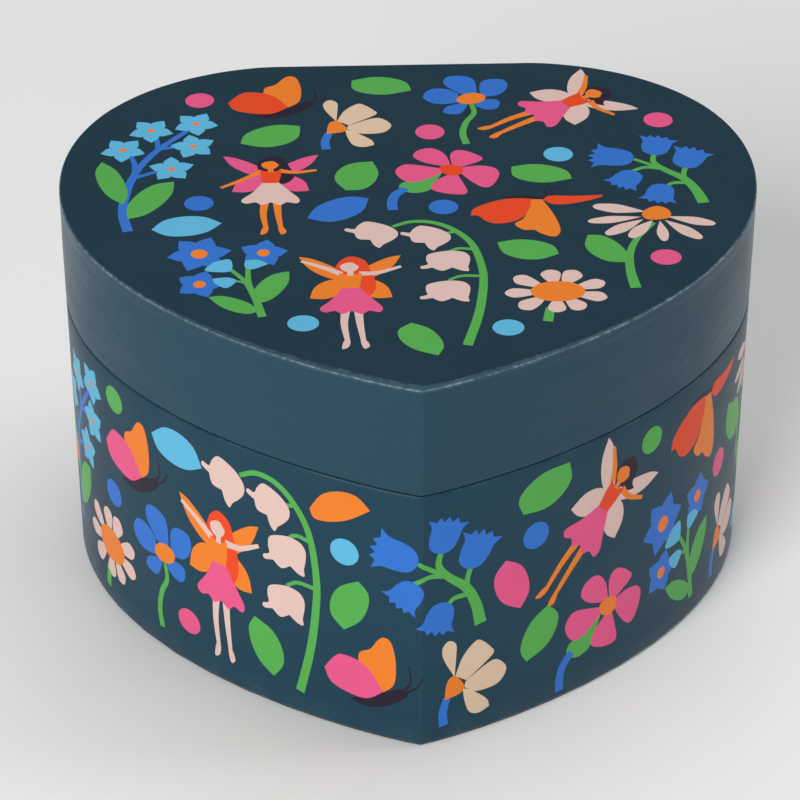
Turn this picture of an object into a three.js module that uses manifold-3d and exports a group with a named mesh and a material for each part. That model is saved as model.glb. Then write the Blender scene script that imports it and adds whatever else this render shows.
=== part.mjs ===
// Wind up music box: a heart shaped, paper covered jewellery box with a lid, a turning
// figure and an 18 note movement. Millimetres, +Z up. The origin is on the underside,
// midway between the front point and the flat back, which faces +Y.
import * as THREE from 'three';
import { mergeVertices } from 'three/addons/utils/BufferGeometryUtils.js';
import Module from 'manifold-3d';

const wasm = await Module();
wasm.setup();

// ---- heart outline
const HEART_WIDTH = 175;
const HEART_DEPTH = 150.5;
const WIDEST_FROM_TIP = 94.5;
const BACK_FLAT = 64;
const TIP_SLOPE = THREE.MathUtils.degToRad(14.7);
const TIP_EASE = 0.126; // curve handles, as shares of the span that each one bends
const FRONT_FULLNESS = 0.644;
const BACK_FULLNESS = 0.725;
const SHOULDER_EASE = 0.385;
const CURVE_STEPS = 13;

// ---- box heights and layers
const BASE_HEIGHT = 76.8;
const LID_HEIGHT = 30.5;
const SEAM_GAP = 0.3;
const PAPER = 0.4;
const BOARD = 2;
const LINER = 1.2;
const GLUE = 0.05;
const FELT = 0.5;
const TOP_SHEET = 0.3;
const TOP_SHEET_INSET = 1.2;
const TURN_OVER = 8;
const FLOOR_PAD = 2;
const LID_PAD = 1.5;
const LINER_DROP = 1.2;
const FIT = 0.3;

// ---- mirror, hinge and ribbon
const MIRROR_SCALE = 0.6;
const MIRROR_GLASS = 1.5;
const FRAME_WIDTH = 3;
const FRAME_HEIGHT = 2.2;
const HINGE_MARGIN = 7; // bare wall left at each end of the hinge, for the stop wire
const HINGE_CLOTH = 0.5;
const HINGE_LEAF = 15;
const RIBBON_WIDTH = 10;
const RIBBON_FOLD = 16;
const RIBBON_FORWARD = 45;

// ---- movement
const FLOOR_CLEARANCE = 2.65;
const PLATE_BELOW_KEY = 21.8;
const RISER = 3;
const BEDPLATE = 2.6;
const BEDPLATE_MARGIN = 2.5;
const ARBOR_RADIUS = 1.6;
const RUNNING = 0.35; // clearance round a turning shaft
const DRUM_RADIUS = 11.5;
const DRUM_WALL = 0.9;
const DRUM_LENGTH = 9.8;
const CROWN_TEETH = 30;
const CROWN_WIDTH = 1.9;
const CROWN_TOOTH = 1.2;
const PINION_TEETH = 10;
const PINION_ADDENDUM = 0.43;
const PINION_DEDENDUM = 0.82;
const PINION_WIDTH = 1.8;
const MESH_DEPTH = 0.65;
const NOTES = 18;
const NOTE_PITCH = 0.98;
const CYLINDER_RADIUS = 6.4;
const PIN_HEIGHT = 0.45;
const GEAR_TEETH = 28;
const TRAIN_PINION_TEETH = 8;
const WHEEL_TEETH = 20;
const WHEEL_RADIUS = 4.2;
const WORM_RADIUS = 1.3;
const WORM_TURNS = 4;
const FAN_RADIUS = 3.9;
const COMB_THICKNESS = 1;
const COMB_GAP = 0.2;
const SCREW_HEAD = 2.4;
const SCREW_SHANK = 1.05;

// ---- housing and figure
const HOUSING_BOARD = 2;
const HOUSING_ROOM = 1.6;
const BUSH_RADIUS = 2.4;
const SPINDLE_RADIUS = 0.8;
const TURNTABLE_RADIUS = 9;
const SEAT_HEIGHT = 6.4;
const HEADROOM = 8;
const WIRE_RADIUS = 0.45;

// ---- places worked out from the sizes above
const BACK = HEART_DEPTH / 2;
const SEAM = BASE_HEIGHT;
const TOP = BASE_HEIGHT + LID_HEIGHT;
const BOARD_OUT = PAPER + GLUE;
const BOARD_IN = BOARD_OUT + BOARD;
const LINER_OUT = BOARD_IN + GLUE;
const LINER_IN = LINER_OUT + LINER;
const INSIDE_BACK = BACK - LINER_IN;
const FLOOR_BOTTOM = FELT + GLUE;
const FLOOR_TOP = FLOOR_BOTTOM + BOARD;
const BEDPLATE_BOTTOM = FLOOR_TOP + FLOOR_CLEARANCE;
const KEY_HEIGHT = BEDPLATE_BOTTOM + PLATE_BELOW_KEY;
const BASE_RIM = SEAM - SEAM_GAP / 2;
const LID_RIM = SEAM + SEAM_GAP / 2;
const LID_PAPER_TOP = TOP - TOP_SHEET - GLUE;
const LID_BOARD_TOP = LID_PAPER_TOP - PAPER - GLUE;
const LID_BOARD_BOTTOM = LID_BOARD_TOP - BOARD;
const CEILING = LID_BOARD_BOTTOM - GLUE - LID_PAD;
const RISER_BACK = INSIDE_BACK - GLUE;
const PLATE_BACK = RISER_BACK - RISER - GLUE;
const PLATE_FRONT = PLATE_BACK - BEDPLATE;
const DRUM_BACK = PLATE_FRONT - 1.1;
const DRUM_FRONT = DRUM_BACK - DRUM_LENGTH;
const TOOTH_FRONT = DRUM_FRONT - CROWN_TOOTH;
const CROWN_INNER = DRUM_RADIUS - CROWN_WIDTH;
const CROWN_RADIUS = (CROWN_INNER + DRUM_RADIUS) / 2;
const PINION_PITCH = (CROWN_RADIUS * PINION_TEETH) / CROWN_TEETH;
const PINION_TIP = PINION_PITCH + PINION_ADDENDUM;
const AXIS_Y = TOOTH_FRONT + MESH_DEPTH - PINION_TIP;
const CYLINDER_START = DRUM_RADIUS + 1.4;
const GEAR_MODULE = (2 * (CYLINDER_RADIUS - 0.1)) / GEAR_TEETH;
const CYLINDER_END = CYLINDER_START + NOTES * NOTE_PITCH;
const GEAR_X = CYLINDER_END + FIT;
const GEAR_WIDTH = 1.2;
const WHEEL_X = GEAR_X + GEAR_WIDTH + 0.6;
const WHEEL_WIDTH = 1.6;
const TRAIN_Z = KEY_HEIGHT + (GEAR_MODULE * (GEAR_TEETH + TRAIN_PINION_TEETH)) / 2 + 0.1;
const WORM_X = WHEEL_X + WHEEL_WIDTH / 2;
const WORM_Y = AXIS_Y - WHEEL_RADIUS - WORM_RADIUS;
const FRAME_X = WHEEL_X + WHEEL_WIDTH + 0.8;
const FRAME_TOP = TRAIN_Z + 4;
const FAN_BOTTOM = FRAME_TOP + FIT;
const FAN_HEIGHT = 2.9;
const BRACKET_BOTTOM = KEY_HEIGHT + DRUM_RADIUS + 0.5;
const BRACKET_TOP = BRACKET_BOTTOM + 3;
const BEDPLATE_LEFT = -DRUM_RADIUS - BEDPLATE_MARGIN;
const BEDPLATE_RIGHT = WORM_X + FAN_RADIUS + BEDPLATE_MARGIN;
const HOUSING_HALF_WIDTH = BEDPLATE_RIGHT + HOUSING_ROOM + HOUSING_BOARD;
const HOUSING_FRONT = WORM_Y - FAN_RADIUS - HOUSING_ROOM - HOUSING_BOARD;
const HOUSING_HEIGHT = Math.max(FAN_BOTTOM + FAN_HEIGHT, BRACKET_TOP) + HOUSING_ROOM;
const HOUSING_TOP = HOUSING_HEIGHT + HOUSING_BOARD;
const TURNTABLE_Z = HOUSING_TOP + 1.3;
const WIRE_X = BACK_FLAT / 2 - HINGE_MARGIN / 2;
const TURNTABLE_THICKNESS = 1.5;
const SPRING_BOTTOM = TURNTABLE_Z + TURNTABLE_THICKNESS + 0.5;
const FIGURE_FOOT = SPRING_BOTTOM + SEAT_HEIGHT;
const FIGURE_HEIGHT = CEILING - GLUE - FRAME_HEIGHT - HEADROOM - FIGURE_FOOT;

// ---- materials
const paint = (color, roughness, metalness = 0) =>
  new THREE.MeshStandardMaterial({ color, roughness, metalness });
const TEAL_PAPER = paint(0x2c4a5c, 0.55);
const PRINTED_PAPER = paint(0x253d49, 0.5);
const GREYBOARD = paint(0x9a8f7e, 0.9);
const PINK_FLOCK = paint(0xd9a3b0, 0.95);
const PINK_PAPER = paint(0xe3b7c0, 0.8);
const CLOTH = paint(0xc98a9c, 0.9);
const GLASS = paint(0xdfe6ea, 0.08, 0.9);
const GILT = paint(0xd8b25c, 0.35, 0.8);
const STEEL = paint(0xb9bcc0, 0.35, 1);
const SPRING_STEEL = paint(0x5b6b80, 0.35, 1);
const BRASS = paint(0xc9a24a, 0.3, 1);
const ZINC = paint(0xa7a9aa, 0.5, 1);
const WOOD = paint(0xb98f5f, 0.8);
const WHITE_NYLON = paint(0xece9e0, 0.5);
const PORCELAIN = paint(0xf2d9d3, 0.4);
const WING = paint(0xf3c3d2, 0.3);

const box = new THREE.Group();

// ---- geometry helpers
function toSolid(geometry) {
  const bare = geometry.clone();
  bare.deleteAttribute('normal');
  bare.deleteAttribute('uv');
  const merged = mergeVertices(bare, 1e-5);
  const vertProperties = Float32Array.from(merged.attributes.position.array);
  const triVerts = Uint32Array.from(merged.index.array);
  return new wasm.Manifold(new wasm.Mesh({ numProp: 3, vertProperties, triVerts }));
}

function toGeometry(solid) {
  const mesh = solid.getMesh();
  const geometry = new THREE.BufferGeometry();
  geometry.setAttribute('position', new THREE.BufferAttribute(mesh.vertProperties, 3));
  geometry.setIndex(new THREE.BufferAttribute(mesh.triVerts, 1));
  return geometry;
}

function join(...geometries) {
  const solids = geometries.map(toSolid);
  return toGeometry(solids.reduce((whole, next) => whole.add(next)));
}

function cut(geometry, ...cutters) {
  const start = toSolid(geometry);
  return toGeometry(cutters.reduce((left, cutter) => left.subtract(toSolid(cutter)), start));
}

function add(name, geometry, material) {
  const mesh = new THREE.Mesh(geometry, material);
  mesh.name = name;
  box.add(mesh);
}

function extrude(outline, height, holes = []) {
  const shape = new THREE.Shape(outline);
  holes.forEach((hole) => shape.holes.push(new THREE.Path(hole)));
  return new THREE.ExtrudeGeometry(shape, { depth: height, bevelEnabled: false });
}

// outline in (x, y), raised from z0 to z1
function slabZ(outline, z0, z1, holes = []) {
  return extrude(outline, z1 - z0, holes).translate(0, 0, z0);
}

// outline in (x, z), running from y0 to y1
function slabY(outline, y0, y1, holes = []) {
  return extrude(outline, y1 - y0, holes).rotateX(Math.PI / 2).translate(0, y1, 0);
}

// outline in (y, z), running from x0 to x1
function slabX(outline, x0, x1, holes = []) {
  const turn = new THREE.Matrix4().makeBasis(
    new THREE.Vector3(0, 1, 0), new THREE.Vector3(0, 0, 1), new THREE.Vector3(1, 0, 0));
  return extrude(outline, x1 - x0, holes).applyMatrix4(turn).translate(x0, 0, 0);
}

function circle(u, v, radius, sides = 16) {
  const points = [];
  for (let i = 0; i < sides; i += 1) {
    const angle = (2 * Math.PI * (i + 0.5)) / sides;
    points.push(new THREE.Vector2(u + radius * Math.cos(angle), v + radius * Math.sin(angle)));
  }
  return points;
}

function rectangle(u0, u1, v0, v1) {
  return [[u0, v0], [u1, v0], [u1, v1], [u0, v1]].map(([u, v]) => new THREE.Vector2(u, v));
}

function block(x0, x1, y0, y1, z0, z1) {
  return slabZ(rectangle(x0, x1, y0, y1), z0, z1);
}

// profile of [radius, height] pairs turned about +Z, then laid along +Y where asked
function turned(profile, sides = 20) {
  const points = profile.map(([radius, height]) => new THREE.Vector2(radius, height));
  points.push(points[0].clone());
  return new THREE.LatheGeometry(points, sides);
}

function gearOutline(u, v, teeth, rootRadius, tipRadius, rootHalf, tipHalf, phase = 0) {
  const points = [];
  for (let i = 0; i < teeth; i += 1) {
    const middle = phase + (2 * Math.PI * i) / teeth;
    const corners = [[rootRadius, -rootHalf], [tipRadius, -tipHalf], [tipRadius, tipHalf],
      [rootRadius, rootHalf]];
    corners.forEach(([radius, half]) => {
      const angle = middle + half / radius;
      points.push(new THREE.Vector2(u + radius * Math.cos(angle), v + radius * Math.sin(angle)));
    });
  }
  return points;
}

// ---- the heart: two curves a side, offset inwards by inset
function heartSide(inset) {
  const half = HEART_WIDTH / 2;
  const front = new THREE.CubicBezierCurve(
    new THREE.Vector2(0, 0),
    new THREE.Vector2(TIP_EASE * half * Math.cos(TIP_SLOPE), TIP_EASE * half * Math.sin(TIP_SLOPE)),
    new THREE.Vector2(half, WIDEST_FROM_TIP * (1 - FRONT_FULLNESS)),
    new THREE.Vector2(half, WIDEST_FROM_TIP));
  const behind = HEART_DEPTH - WIDEST_FROM_TIP;
  const beside = half - BACK_FLAT / 2;
  const shoulder = new THREE.CubicBezierCurve(
    new THREE.Vector2(half, WIDEST_FROM_TIP),
    new THREE.Vector2(half, WIDEST_FROM_TIP + BACK_FULLNESS * behind),
    new THREE.Vector2(BACK_FLAT / 2 + SHOULDER_EASE * beside, HEART_DEPTH),
    new THREE.Vector2(BACK_FLAT / 2, HEART_DEPTH));
  const points = [];
  [front, shoulder].forEach((curve) => {
    for (let i = 1; i <= CURVE_STEPS; i += 1) {
      const t = i / CURVE_STEPS;
      const inward = curve.getTangent(t);
      inward.set(-inward.y, inward.x);
      points.push(curve.getPoint(t).addScaledVector(inward, inset));
    }
  });
  return points.filter((point) => point.x > FIT);
}

function heart(inset = 0) {
  const side = heartSide(inset);
  const tip = new THREE.Vector2(0, inset / Math.cos(TIP_SLOPE));
  const left = side.map((point) => new THREE.Vector2(-point.x, point.y)).reverse();
  return [tip, ...side, ...left].map((point) => new THREE.Vector2(point.x, point.y - BACK));
}

// half the heart's width at a distance y from its middle, behind its widest place
function halfWidthAt(y, inset) {
  const behind = heartSide(inset).filter((point) => point.y >= WIDEST_FROM_TIP);
  const next = behind.findIndex((point) => point.y - BACK > y);
  const [from, to] = [behind[next - 1], behind[next]];
  return from.x + ((to.x - from.x) * (y + BACK - from.y)) / (to.y - from.y);
}

function scaledHeart(scale, inset) {
  return heart(inset).map((point) => point.multiplyScalar(scale));
}

const ring = (outer, inner, z0, z1) => slabZ(heart(outer), z0, z1, [heart(inner)]);

// ---- holes through the back wall for the arbor and the movement's screws
const SCREW_PLACES = [[BEDPLATE_LEFT + 5, KEY_HEIGHT - 15], [DRUM_RADIUS + 2.5, KEY_HEIGHT + 8],
  [BACK_FLAT / 2, KEY_HEIGHT - 15]];

function backHoles() {
  const through = [slabY(circle(0, KEY_HEIGHT, ARBOR_RADIUS + 1.2), PLATE_FRONT - 1, BACK + 1)];
  SCREW_PLACES.forEach(([x, z]) => {
    through.push(slabY(circle(x, z, SCREW_SHANK + FIT, 12), PLATE_FRONT - 1, BACK + 1));
  });
  return through;
}

// ---- base of the box
function addBase() {
  add('bottom_sheet', slabZ(heart(BOARD_OUT), 0, FELT), CLOTH);
  add('base_floor', slabZ(heart(LINER_OUT), FLOOR_BOTTOM, FLOOR_TOP), GREYBOARD);
  const wrap = join(
    ring(0, PAPER, FELT / 2, BASE_RIM),
    ring(0, BOARD_IN, BASE_RIM - PAPER, BASE_RIM));
  add('base_paper', cut(wrap, ...backHoles()), PRINTED_PAPER);
  const wall = ring(BOARD_OUT, BOARD_IN, FLOOR_BOTTOM, BASE_RIM - PAPER - GLUE);
  add('base_wall', cut(wall, ...backHoles()), GREYBOARD);
  const liner = ring(LINER_OUT, LINER_IN, FLOOR_TOP + GLUE, SEAM - LINER_DROP);
  add('base_liner', cut(liner, ...backHoles()), PINK_PAPER);
  const underHousing = block(
    -HOUSING_HALF_WIDTH - FIT, HOUSING_HALF_WIDTH + FIT, HOUSING_FRONT - FIT, BACK, 0, TOP);
  const pad = slabZ(heart(LINER_IN + GLUE), FLOOR_TOP + GLUE, FLOOR_TOP + GLUE + FLOOR_PAD);
  add('floor_lining', cut(pad, underHousing), PINK_FLOCK);
}

// ---- lid
function addLid() {
  const wrap = join(
    ring(0, PAPER, LID_RIM, LID_PAPER_TOP),
    ring(0, TURN_OVER, LID_PAPER_TOP - PAPER, LID_PAPER_TOP),
    ring(0, BOARD_IN, LID_RIM, LID_RIM + PAPER));
  add('lid_paper', wrap, TEAL_PAPER);
  add('lid_top_sheet', slabZ(heart(TOP_SHEET_INSET), TOP - TOP_SHEET, TOP), PRINTED_PAPER);
  add('lid_top', slabZ(heart(BOARD_OUT), LID_BOARD_BOTTOM, LID_BOARD_TOP), GREYBOARD);
  const wallTop = LID_BOARD_BOTTOM - GLUE;
  add('lid_wall', ring(BOARD_OUT, BOARD_IN, LID_RIM + PAPER + GLUE, wallTop), GREYBOARD);
  add('lid_liner', ring(LINER_OUT, LINER_IN, SEAM + LINER_DROP, wallTop), PINK_PAPER);
  add('lid_lining', slabZ(heart(LINER_IN + GLUE), CEILING, wallTop), PINK_FLOCK);
}

function addMirror() {
  const frameTop = CEILING - GLUE;
  const inner = FRAME_WIDTH / MIRROR_SCALE;
  const rim = slabZ(scaledHeart(MIRROR_SCALE, 0), frameTop - FRAME_HEIGHT, frameTop,
    [scaledHeart(MIRROR_SCALE, inner)]);
  add('mirror_frame', rim, GILT);
  const glass = scaledHeart(MIRROR_SCALE, inner + GLUE / MIRROR_SCALE);
  add('mirror', slabZ(glass, frameTop - MIRROR_GLASS, frameTop), GLASS);
}

// ---- cloth hinge inside the back and the ribbon that stops the lid
function addHinge() {
  const half = BACK_FLAT / 2 - HINGE_MARGIN;
  const [y0, y1] = [INSIDE_BACK - GLUE - HINGE_CLOTH, INSIDE_BACK - GLUE];
  add('hinge_cloth_base', block(-half, half, y0, y1, SEAM - HINGE_LEAF, SEAM - 0.6), CLOTH);
  add('hinge_cloth_lid', block(-half, half, y0, y1, SEAM + 0.6, SEAM + HINGE_LEAF), CLOTH);
}

function addRibbon() {
  const front = BACK - RIBBON_FORWARD;
  const side = halfWidthAt(front + RIBBON_FOLD, LINER_IN) - 1.5;
  const top = SEAM - 1;
  const folded = block(-side - 0.5, -side + 0.5, front, front + RIBBON_FOLD, top - RIBBON_WIDTH, top);
  add('stay_ribbon', folded, CLOTH);
}

// ---- board housing over the movement
function addHousing() {
  const [outer, inner] = [HOUSING_HALF_WIDTH, HOUSING_HALF_WIDTH - HOUSING_BOARD];
  const bottom = FLOOR_TOP + GLUE;
  const shell = join(
    block(-outer, outer, HOUSING_FRONT, HOUSING_FRONT + HOUSING_BOARD, bottom, HOUSING_HEIGHT),
    block(-outer, -inner, HOUSING_FRONT, BACK, bottom, HOUSING_HEIGHT),
    block(inner, outer, HOUSING_FRONT, BACK, bottom, HOUSING_HEIGHT));
  const outside = slabZ(rectangle(-HEART_WIDTH, HEART_WIDTH, -HEART_DEPTH, HEART_DEPTH), 0, TOP,
    [heart(LINER_IN + FIT)]);
  add('housing_shell', cut(shell, outside), PINK_PAPER);
  const top = block(-outer, outer, HOUSING_FRONT, BACK, HOUSING_HEIGHT + GLUE, HOUSING_TOP);
  const bushHole = slabZ(circle(0, AXIS_Y, BUSH_RADIUS + GLUE, 20), 0, TOP);
  const slot = block(WIRE_X - 1.4, WIRE_X + 2.4, INSIDE_BACK - 3, BACK, 0, TOP);
  add('housing_top', cut(top, outside, bushHole, slot), PINK_FLOCK);
  const bore = SPINDLE_RADIUS + RUNNING;
  const bush = turned([[bore, 0], [BUSH_RADIUS, 0], [BUSH_RADIUS, HOUSING_BOARD + GLUE],
    [BUSH_RADIUS + 1, HOUSING_BOARD + GLUE], [BUSH_RADIUS + 1, HOUSING_BOARD + 0.7],
    [bore, HOUSING_BOARD + 0.7]]);
  bush.rotateX(Math.PI / 2).translate(0, AXIS_Y, HOUSING_HEIGHT);
  add('spindle_bush', bush, WHITE_NYLON);
}

// ---- the cast plate, its block and screws
function addBedplate() {
  const step = DRUM_RADIUS + 8;
  const outline = [[BEDPLATE_LEFT, BEDPLATE_BOTTOM], [BEDPLATE_RIGHT, BEDPLATE_BOTTOM],
    [BEDPLATE_RIGHT, FRAME_TOP], [step + 3, FRAME_TOP], [step, BRACKET_TOP],
    [BEDPLATE_LEFT, BRACKET_TOP]];
  const plate = slabY(outline.map(([x, z]) => new THREE.Vector2(x, z)), PLATE_FRONT, PLATE_BACK);
  const pedestal = block(CYLINDER_START - 0.4, CYLINDER_END + 0.4,
    AXIS_Y + COMB_THICKNESS / 2 + GLUE, PLATE_FRONT + 0.5, BEDPLATE_BOTTOM, COMB_ROOT + 0.2);
  const combHoles = COMB_SCREWS.map((x) =>
    slabY(circle(x, COMB_SCREW_Z, 0.8 + GLUE, 10), AXIS_Y, PLATE_FRONT - 5));
  add('bedplate', cut(join(plate, pedestal), ...backHoles(), ...combHoles), ZINC);
  const riser = block(BEDPLATE_LEFT + 1, BACK_FLAT / 2 - 1, RISER_BACK - RISER, RISER_BACK,
    BEDPLATE_BOTTOM + 2.8, FRAME_TOP - 0.2);
  add('movement_riser', cut(riser, ...backHoles()), WOOD);
}

function addMovementScrews() {
  const profile = [[0, 0], [SCREW_SHANK, 0], [SCREW_SHANK, BACK - PLATE_FRONT - 0.5],
    [SCREW_HEAD, BACK - PLATE_FRONT - 0.5], [SCREW_HEAD * 0.8, BACK - PLATE_FRONT + 0.6],
    [0, BACK - PLATE_FRONT + 0.8]];
  SCREW_PLACES.forEach(([x, z], index) => {
    const screw = turned(profile, 12).translate(0, GLUE + 0.5, 0);
    add(`movement_screw_${index + 1}`, screw.translate(x, PLATE_FRONT, z), STEEL);
  });
}

// ---- key, arbor, wrap spring, barrel and mainspring, all on the axis along Y
function addKey() {
  const back = BACK + 0.9;
  const hub = turned([[0, 4], [ARBOR_RADIUS + GLUE, 4], [ARBOR_RADIUS + GLUE, 0], [3.2, 0],
    [3.2, 6], [2.2, 8.5], [0, 8.5]], 16).translate(0, back, KEY_HEIGHT);
  const wing = [];
  for (let i = 0; i <= 16; i += 1) {
    const angle = (Math.PI * 1.5 * i) / 16 - Math.PI * 0.75;
    wing.push(new THREE.Vector2(7.6 + 5.6 * Math.cos(angle), 6.2 * Math.sin(angle)));
  }
  wing.push(new THREE.Vector2(0, 2.4), new THREE.Vector2(0, -2.4));
  const lobe = (turn) => slabZ(wing, -0.8, 0.8, [circle(8.2, 0, 2.4, 12)])
    .rotateZ(turn).translate(0, back + 14.3, KEY_HEIGHT);
  const web = block(-2, 2, back + 6, back + 16, KEY_HEIGHT - 0.8, KEY_HEIGHT + 0.8);
  add('winding_key', join(hub, web, lobe(0), lobe(Math.PI)), BRASS);
}

function addArbor() {
  const tip = DRUM_FRONT - 0.6;
  const arbor = turned([[0, tip], [1.1, tip], [1.1, DRUM_FRONT + DRUM_WALL + FIT],
    [2.4, DRUM_FRONT + DRUM_WALL + FIT], [2.4, DRUM_BACK - 1.6], [ARBOR_RADIUS, DRUM_BACK - 1.6],
    [ARBOR_RADIUS, BACK + 4.5], [0, BACK + 4.5]], 14);
  add('winding_arbor', arbor.translate(0, 0, KEY_HEIGHT), STEEL);
  add('clutch_spring', coil(ARBOR_RADIUS + RUNNING + 0.2, 0.2, 0.42, 1.6, 10)
    .rotateX(-Math.PI / 2).translate(0, PLATE_FRONT - 0.92, KEY_HEIGHT), SPRING_STEEL);
}

// a coil of round wire about +Z, starting at z = 0
function coil(radius, wire, pitch, turns, steps) {
  const points = [];
  for (let i = 0; i <= turns * steps; i += 1) {
    const angle = (2 * Math.PI * i) / steps;
    points.push(new THREE.Vector3(
      radius * Math.cos(angle), radius * Math.sin(angle), (pitch * i) / steps));
  }
  const path = new THREE.CatmullRomCurve3(points);
  const section = new THREE.Shape(circle(0, 0, wire, 5));
  return new THREE.ExtrudeGeometry(section,
    { steps: Math.round(turns * steps), bevelEnabled: false, extrudePath: path });
}

function addBarrel() {
  const drum = turned([[1.4, DRUM_FRONT], [DRUM_RADIUS, DRUM_FRONT], [DRUM_RADIUS, DRUM_BACK],
    [DRUM_RADIUS - DRUM_WALL, DRUM_BACK], [DRUM_RADIUS - DRUM_WALL, DRUM_FRONT + DRUM_WALL],
    [1.4, DRUM_FRONT + DRUM_WALL]], 30).translate(0, 0, KEY_HEIGHT);
  const teeth = [];
  for (let i = 0; i < CROWN_TEETH; i += 1) {
    const tooth = [[-0.5, DRUM_FRONT + 0.3], [-0.3, TOOTH_FRONT], [0.3, TOOTH_FRONT],
      [0.5, DRUM_FRONT + 0.3]].map(([x, y]) => new THREE.Vector2(x, y));
    const turn = (2 * Math.PI * (i + 0.5)) / CROWN_TEETH + Math.PI / 2;
    teeth.push(slabZ(tooth, CROWN_INNER, DRUM_RADIUS - 0.12).rotateY(turn)
      .translate(0, 0, KEY_HEIGHT));
  }
  add('spring_barrel', join(drum, ...teeth), BRASS);
  const cover = slabY(circle(0, KEY_HEIGHT, DRUM_RADIUS - DRUM_WALL - 0.1, 30),
    DRUM_BACK - 1.1, DRUM_BACK - 0.2, [circle(0, KEY_HEIGHT, ARBOR_RADIUS + RUNNING, 14)]);
  add('barrel_cover', cover, BRASS);
}

function addMainspring() {
  const [steps, turns, inner, outer] = [12, 5.5, 3.1, DRUM_RADIUS - DRUM_WALL - 0.9];
  const strip = (offset) => {
    const points = [];
    for (let i = 0; i <= steps * turns; i += 1) {
      const angle = (2 * Math.PI * i) / steps;
      const radius = inner + ((outer - inner) * i) / (steps * turns) + offset;
      points.push(new THREE.Vector2(radius * Math.cos(angle), KEY_HEIGHT + radius * Math.sin(angle)));
    }
    return points;
  };
  const outline = [...strip(0.2), ...strip(-0.2).reverse()];
  add('mainspring', slabY(outline, DRUM_FRONT + 1.6, DRUM_BACK - 1.8), SPRING_STEEL);
}

// ---- pinned cylinder, its arbor, pinion, gear and bracket
function addCylinder() {
  const drum = slabX(circle(AXIS_Y, KEY_HEIGHT, CYLINDER_RADIUS, 36), CYLINDER_START, CYLINDER_END,
    [circle(AXIS_Y, KEY_HEIGHT, 0.8 + GLUE, 12)]);
  const pins = [];
  for (let note = 0; note < NOTES; note += 1) {
    for (let beat = 0; beat < 3; beat += 1) {
      const turn = 0.35 + note * 1.9 + beat * (1.4 + 0.3 * (note % 3));
      const x = CYLINDER_START + (note + 0.5) * NOTE_PITCH;
      const pin = block(x - 0.15, x + 0.15, -0.15, 0.15, CYLINDER_RADIUS - 0.3,
        CYLINDER_RADIUS + PIN_HEIGHT);
      pins.push(pin.rotateX(turn).translate(0, AXIS_Y, KEY_HEIGHT));
    }
  }
  add('tune_cylinder', join(drum, ...pins), BRASS);
  add('cylinder_arbor', slabX(circle(AXIS_Y, KEY_HEIGHT, 0.8, 12),
    CROWN_INNER - 0.9, FRAME_X + 1.3), STEEL);
  const pinionMiddle = CROWN_RADIUS;
  add('cylinder_pinion', pinion(slabX, AXIS_Y, KEY_HEIGHT, 0,
    pinionMiddle - PINION_WIDTH / 2, pinionMiddle + PINION_WIDTH / 2), STEEL);
  const outline = spurOutline(GEAR_TEETH, AXIS_Y, KEY_HEIGHT, Math.PI / 2);
  add('cylinder_gear', slabX(outline, GEAR_X, GEAR_X + GEAR_WIDTH,
    [circle(AXIS_Y, KEY_HEIGHT, 0.8 + GLUE, 12)]), BRASS);
  const post = rectangle(AXIS_Y - 3, PLATE_FRONT - GLUE, KEY_HEIGHT - 2.6, KEY_HEIGHT + 2.6);
  add('cylinder_bracket', slabX(post, DRUM_RADIUS + 0.35, CYLINDER_START - 0.3,
    [circle(AXIS_Y, KEY_HEIGHT, 0.8 + FIT, 12)]), ZINC);
}

function pinion(slab, u, v, phase, from, to) {
  const outline = gearOutline(u, v, PINION_TEETH, PINION_PITCH - PINION_DEDENDUM,
    PINION_TIP, 0.5, 0.26, phase);
  return slab(outline, from, to, [circle(u, v, 0.8 + GLUE, 12)]);
}

function spurOutline(teeth, u, v, phase) {
  const pitch = (GEAR_MODULE * teeth) / 2;
  return gearOutline(u, v, teeth, pitch - 0.55, pitch + 0.32, 0.33, 0.17, phase);
}

// ---- comb and its screws
const COMB_TIP = KEY_HEIGHT - CYLINDER_RADIUS - PIN_HEIGHT - COMB_GAP;
const COMB_ROOT = BEDPLATE_BOTTOM + 5;
const COMB_SCREW_Z = BEDPLATE_BOTTOM + 2.4;
const COMB_SCREWS = [CYLINDER_START + 4, CYLINDER_END - 4];

function addComb() {
  const [x0, x1] = [CYLINDER_START - 0.2, CYLINDER_END + 0.2];
  const outline = [new THREE.Vector2(x0, BEDPLATE_BOTTOM), new THREE.Vector2(x1, BEDPLATE_BOTTOM),
    new THREE.Vector2(x1, COMB_ROOT)];
  for (let note = NOTES - 1; note >= 0; note -= 1) {
    const x = CYLINDER_START + (note + 0.5) * NOTE_PITCH;
    outline.push(new THREE.Vector2(x + 0.38, COMB_ROOT), new THREE.Vector2(x + 0.2, COMB_TIP),
      new THREE.Vector2(x - 0.2, COMB_TIP), new THREE.Vector2(x - 0.38, COMB_ROOT));
  }
  outline.push(new THREE.Vector2(x0, COMB_ROOT));
  const holes = COMB_SCREWS.map((x) => circle(x, COMB_SCREW_Z, 0.8 + GLUE, 10));
  const [y0, y1] = [AXIS_Y - COMB_THICKNESS / 2, AXIS_Y + COMB_THICKNESS / 2];
  add('comb', slabY(outline, y0, y1, holes), STEEL);
  COMB_SCREWS.forEach((x, index) => {
    const screw = turned([[0, 0], [1.5, 0.2], [1.7, 1.1], [0.8, 1.1], [0.8, 6.5], [0, 6.5]], 12);
    add(`comb_screw_${index + 1}`, screw.translate(x, y0 - 1.1 - GLUE, COMB_SCREW_Z), STEEL);
  });
}

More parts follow.
